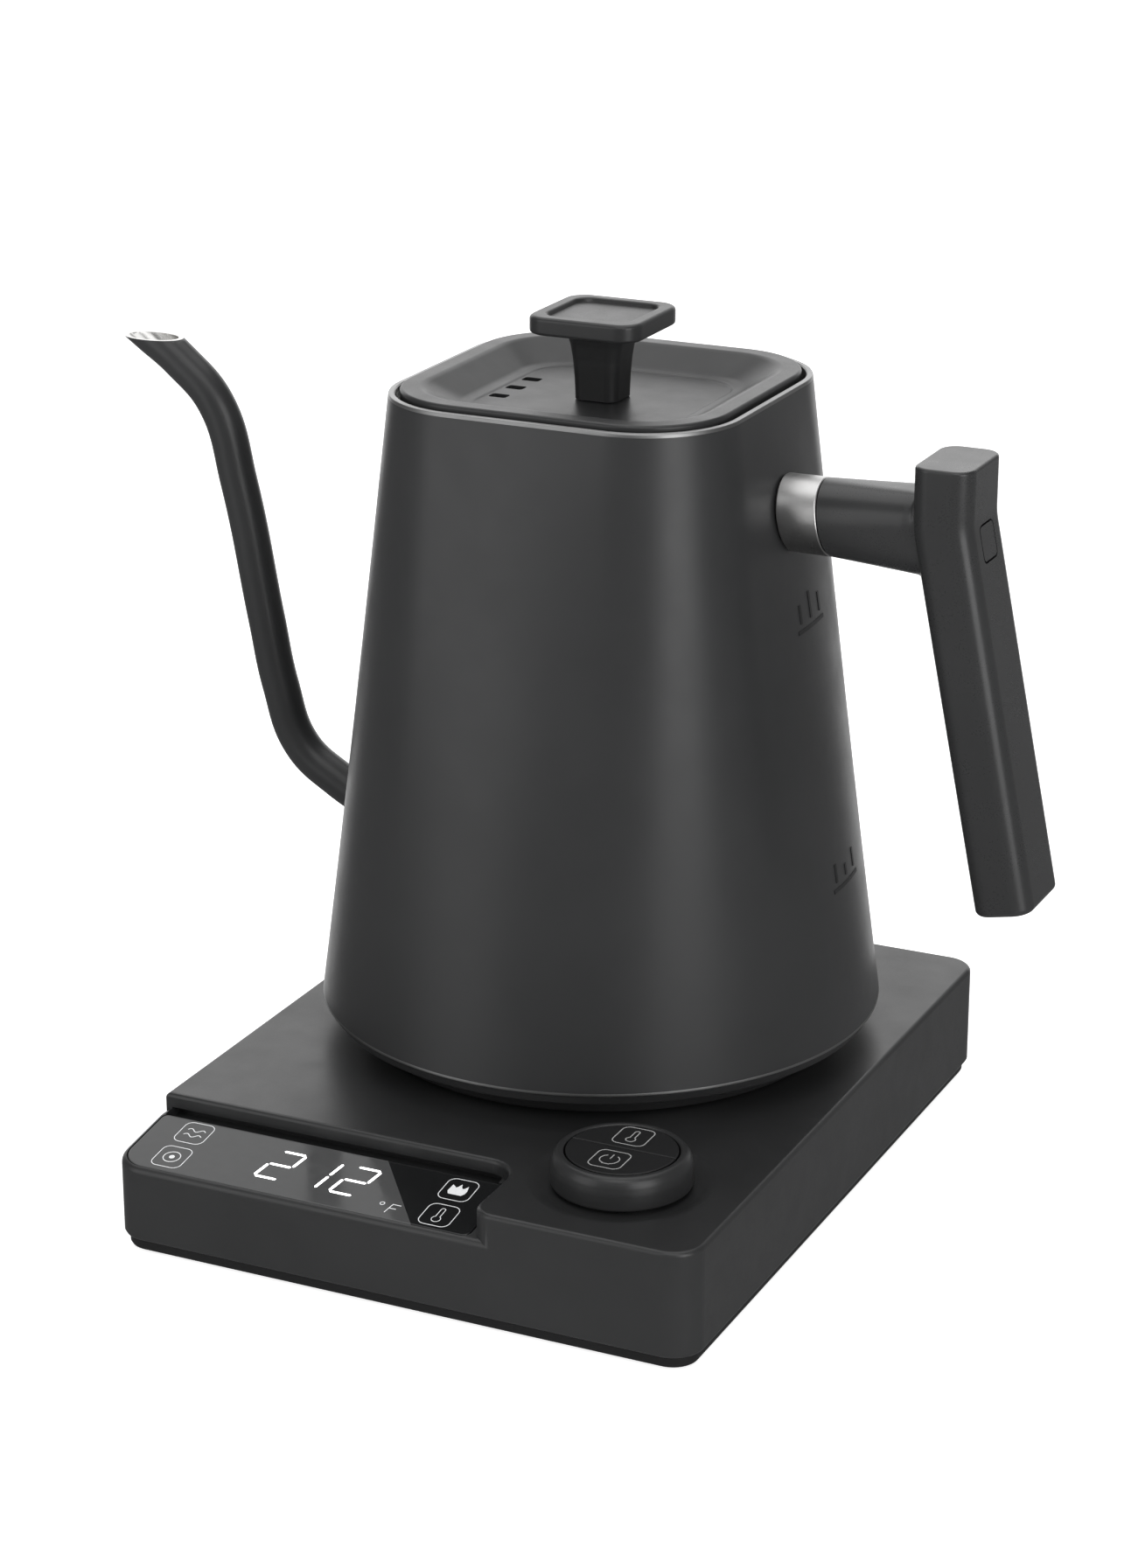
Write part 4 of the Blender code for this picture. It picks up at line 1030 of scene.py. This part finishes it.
def grip_rings():
    tangent = BEND_RADIUS * math.tan(GRIP_LEAN / 2.0)
    rings = []
    end_radius, end_steps, bend_steps = 1.5, 6, 12
    for step in range(end_steps + 1):
        angle = math.pi / 2.0 * step / end_steps
        inset = end_radius * (1.0 - math.sin(angle))
        along = GRIP_LENGTH - end_radius * (1.0 - math.cos(angle))
        x = GRIP_X + along * math.sin(GRIP_LEAN)
        rings.append(grip_ring(x, GRIP_BEND - along * math.cos(GRIP_LEAN), GRIP_LEAN, inset))
    for step in range(bend_steps + 1):
        tilt = GRIP_LEAN * (1.0 - step / bend_steps)
        x = GRIP_X + BEND_RADIUS * (1.0 - math.cos(tilt))
        rings.append(grip_ring(x, GRIP_BEND + tangent - BEND_RADIUS * math.sin(tilt), tilt, 0.0))
    for height, inset in edge_levels(GRIP_TOP, 0.8):
        rings.append(grip_ring(GRIP_X, height, 0.0, inset))
    return rings


def build_handle():
    collar = soften([
        (COLLAR_START, 8.9), (COLLAR_START + 0.3, 9.2), (COLLAR_END - 0.3, 9.3), (COLLAR_END, 9.0),
        (COLLAR_END, 6.0), (COLLAR_START, 6.0),
    ], 0.15, 2, closed=True)
    mesh = loft("collar_sleeve", [round_ring(*level) for level in collar], closed=True)
    piece("collar_sleeve", mesh, [STEEL_COLLAR], "kettle", ["handle_collar"])
    arm_steps = [(0.0, 2.6), (0.35, 2.6), (0.7, 2.6)]
    fillet_steps = (2.6, 2.1, 1.6, 1.2, 0.8, 0.5, 0.3, 0.15, 0.05, 0.0, -3.0)
    arm_steps += [(1.0, before) for before in fillet_steps]
    arm = loft("arm", [arm_ring(share, before) for share, before in arm_steps])
    bore_profile = [(0.0, 95.9), (4.2, 95.9), (4.2, 91.5), (2.4, 91.5), (2.4, 50.0), (0.0, 50.0)]
    along_x = Matrix.Translation((0.0, 0.0, ARM_HEIGHT)) @ Matrix.Rotation(math.pi / 2.0, 4, "Y")
    bore = lathe("bore", bore_profile, sides=32, place=along_x)
    turn = Matrix.Rotation(math.pi / 2.0 - GRIP_LEAN * 0.9, 4, "Y")
    place = Matrix.Translation((GRIP_X + 10.2, 0.0, 167.3)) @ turn
    panels = []
    for clearance in (0.0, PANEL_SEAM):
        reach, wide, tall = 4.2 + clearance, 4.2 + clearance, 4.1 + clearance
        outline = rounded_outline(-tall, tall, -wide, wide, 1.2 + clearance, 8)
        panels.append(prism("panel", outline, [(-reach, 0.0), (reach, 0.0)], place))
    panel, recess = panels
    grip = loft("grip", grip_rings())
    handle = carve(grip, ("UNION", arm), ("DIFFERENCE", bore), ("DIFFERENCE", recess))
    piece("handle_grip", handle, [GRIP_PLASTIC], "kettle", ["handle"])
    cover = carve(loft("cover", grip_rings()), ("INTERSECT", panel))
    piece("handle_panel", cover, [GRIP_PLASTIC], "kettle", ["handle_screw_cover"])


def on_wall(y, height, lift):
    """A point on the wall's +X side at a given y."""
    low, high = -math.pi / 3.0, math.pi / 3.0
    for _ in range(40):
        angle = (low + high) / 2.0
        x, across, _z = wall_point(angle, height, -lift)
        if across < y:
            low = angle
        else:
            high = angle
    return (x, y, height)


def build_level_marks():
    """Full and low marks: a line with a row of short bars over it."""
    marks = []
    for foot, heights in ((139.5, (4.6, 6.4, 4.6)), (75.5, (4.6, 2.8, 4.6))):
        line = [(y, foot) for y in (-4.0, 1.5, 7.5, 13.0)]
        marks.append(stroke_mesh(line, 0.9, on_wall, low=-0.1, high=0.15))
        for index, height in enumerate(heights):
            y = -1.8 + 6.3 * index
            bar = [(y, foot + 1.8), (y, foot + 1.8 + height)]
            marks.append(stroke_mesh(bar, 1.1, on_wall, low=-0.1, high=0.15))
    piece("level_marks", joined("level_marks", marks), [MARK], "kettle")


# ---- lid ------------------------------------------------------------------------------

def screw_hole():
    return upright("hole", 1.9, 180.0, 203.0, sides=24)


def build_lid():
    under = [
        (25.0, 10.0, 189.5), (27.8, 12.0, 190.1), (35.3, 16.2, 194.4), (36.3, 17.0, 194.7),
        (40.4, 20.4, 194.7), (40.4, 20.4, 189.3), (41.35, 21.3, 189.3),
    ]
    over = [
        (41.35, 21.3, 195.2), (40.9, 20.9, 195.7), (36.8, 17.4, 195.7), (35.9, 16.7, 195.4),
        (28.8, 12.6, 191.2), (27.6, 11.8, 190.95), (26.3, 11.0, 190.9), (25.6, 10.4, 190.5),
    ]
    levels = soften(under + over, 0.9, 4)
    mesh = square_stack("lid_dish", levels, LID_STEPS)
    vents = []
    for y in (-9.0, 0.0, 9.0):
        outline = rounded_outline(-25.4, -20.8, y - 1.7, y + 1.7, 0.8, 6)
        vents.append(prism("vent", outline, [(181.0, 0.0), (196.0, 0.0)]))
    vents.append(screw_hole())
    piece("lid_dish", cut(mesh, *vents), [PAINT], "lid", ["lid_cover"])
    knob = [
        (5.6, 2.8, 190.8), (5.65, 2.8, 193.0), (5.75, 2.8, 196.0), (6.1, 3.0, 200.5),
        (6.6, 3.2, 204.0), (7.2, 3.5, 206.2), (8.4, 4.0, 207.2), (9.6, 4.3, 207.4),
        (13.8, 4.8, 207.4), (14.3, 5.0, 207.9),
        (14.3, 5.0, 211.2), (13.7, 4.6, 211.8), (11.0, 3.8, 211.8), (10.5, 3.4, 210.8),
    ]
    mesh = square_stack("lid_handle", soften(knob, 0.5, 4), 128)
    piece("lid_handle", cut(mesh, screw_hole()), [PLASTIC], "lid", ["lid_knob"])


# ---- studio ---------------------------------------------------------------------------

def point_along(item, direction):
    item.rotation_mode = "QUATERNION"
    item.rotation_quaternion = direction.to_track_quat("-Z", "Y")


def away(rise):
    """The direction away from the camera, rising at an angle."""
    flat = math.cos(rise)
    x, y = -math.sin(CAMERA_AZIMUTH) * flat, math.cos(CAMERA_AZIMUTH) * flat
    return Vector((x, y, math.sin(rise)))


def add_camera():
    data = bpy.data.cameras.new("camera")
    data.sensor_fit = "VERTICAL"
    data.sensor_height = CAMERA_SENSOR
    data.lens = CAMERA_LENS
    data.clip_end = CLIP_END
    camera = new_object("camera", data)
    camera.location = CAMERA_PLACE
    point_along(camera, away(-CAMERA_ELEVATION))
    bpy.context.scene.camera = camera


def add_floor():
    graph = Graph("studio_floor")
    broad = graph.noise(300.0, 2.0)
    toned = graph.mix(broad, (0.86, 0.86, 0.86), (0.88, 0.88, 0.88))
    graph.shade(
        Base_Color=toned, Roughness=0.9, Specular_IOR_Level=0.0,
        Emission_Color=(1.0, 1.0, 1.0, 1.0), Emission_Strength=FLOOR_GLOW,
    )
    mesh = bpy.data.meshes.new("studio_floor")
    corners = [(-1, -1), (1, -1), (1, 1), (-1, 1)]
    corners = [(FLOOR_REACH * x, FLOOR_REACH * y, 0.0) for x, y in corners]
    mesh.from_pydata(corners, [], [(0, 1, 2, 3)])
    mesh.materials.append(graph.material)
    floor = new_object("studio_floor", mesh)
    floor.visible_glossy = False


def add_world():
    """Soft light all round: bright behind the object, dim elsewhere, white to the camera."""
    studio = bpy.data.worlds.new("studio")
    bpy.context.scene.world = studio
    studio.use_nodes = True
    tree = studio.node_tree
    nodes, links = tree.nodes, tree.links
    background = nodes["Background"]
    place = nodes.new("ShaderNodeTexCoord")
    toward = nodes.new("ShaderNodeVectorMath")
    toward.operation = "DOT_PRODUCT"
    toward.inputs[1].default_value = away(BACK_RISE)
    links.new(place.outputs["Generated"], toward.inputs[0])
    ramp = nodes.new("ShaderNodeMapRange")
    ramp.interpolation_type = "SMOOTHSTEP"
    set_range(ramp, BACK_EDGE, BACK_FULL, WORLD_DIM, WORLD_BRIGHT)
    links.new(toward.outputs["Value"], ramp.inputs["Value"])
    seen = nodes.new("ShaderNodeLightPath")
    strength = nodes.new("ShaderNodeMix")
    strength.inputs["B"].default_value = BACKGROUND
    links.new(seen.outputs["Is Camera Ray"], strength.inputs["Factor"])
    links.new(ramp.outputs["Result"], strength.inputs["A"])
    links.new(strength.outputs["Result"], background.inputs["Strength"])
    background.inputs["Color"].default_value = (1.0, 1.0, 1.0, 1.0)


def add_softbox(name, place, aim, width, height, radiance):
    """A rectangular lamp; radiance is its brightness as seen in a mirror."""
    data = bpy.data.lights.new(name, "AREA")
    data.shape = "RECTANGLE"
    data.size = width
    data.size_y = height
    data.energy = radiance * math.pi * width * height
    lamp = new_object(name, data)
    lamp.location = place
    point_along(lamp, Vector(aim) - Vector(place))
    lamp.visible_camera = False


def around(azimuth, distance, height):
    """A place at an angle, in degrees, to the right of the camera's side."""
    angle = CAMERA_AZIMUTH + math.radians(azimuth)
    return (distance * math.sin(angle), -distance * math.cos(angle), height)


def add_lights():
    aim = (0.0, 0.0, 0.11)
    add_softbox("overhead", (-0.15, 0.30, 1.35), (0.0, 0.0, 0.1), 1.5, 1.2, 1.45)
    add_softbox("front_top", around(-8.0, 0.85, 1.25), aim, 1.0, 0.8, 1.7)
    add_softbox("left_strip", around(-60.0, 1.3, 0.45), aim, 0.8, 1.1, 1.2)
    add_softbox("right_strip", around(33.0, 1.4, 0.45), aim, 0.8, 1.1, 2.8)


add_camera()
dress_cad_nodes()
build_housing()
build_bottom()
build_connector()
build_display_glass()
build_display_graphics()
build_dial()
build_button_graphics()
build_body()
build_spout()
build_kettle_bottom()
build_handle()
build_level_marks()
build_lid()
add_floor()
add_world()
add_lights()
bpy.context.scene.view_settings.view_transform = "Standard"
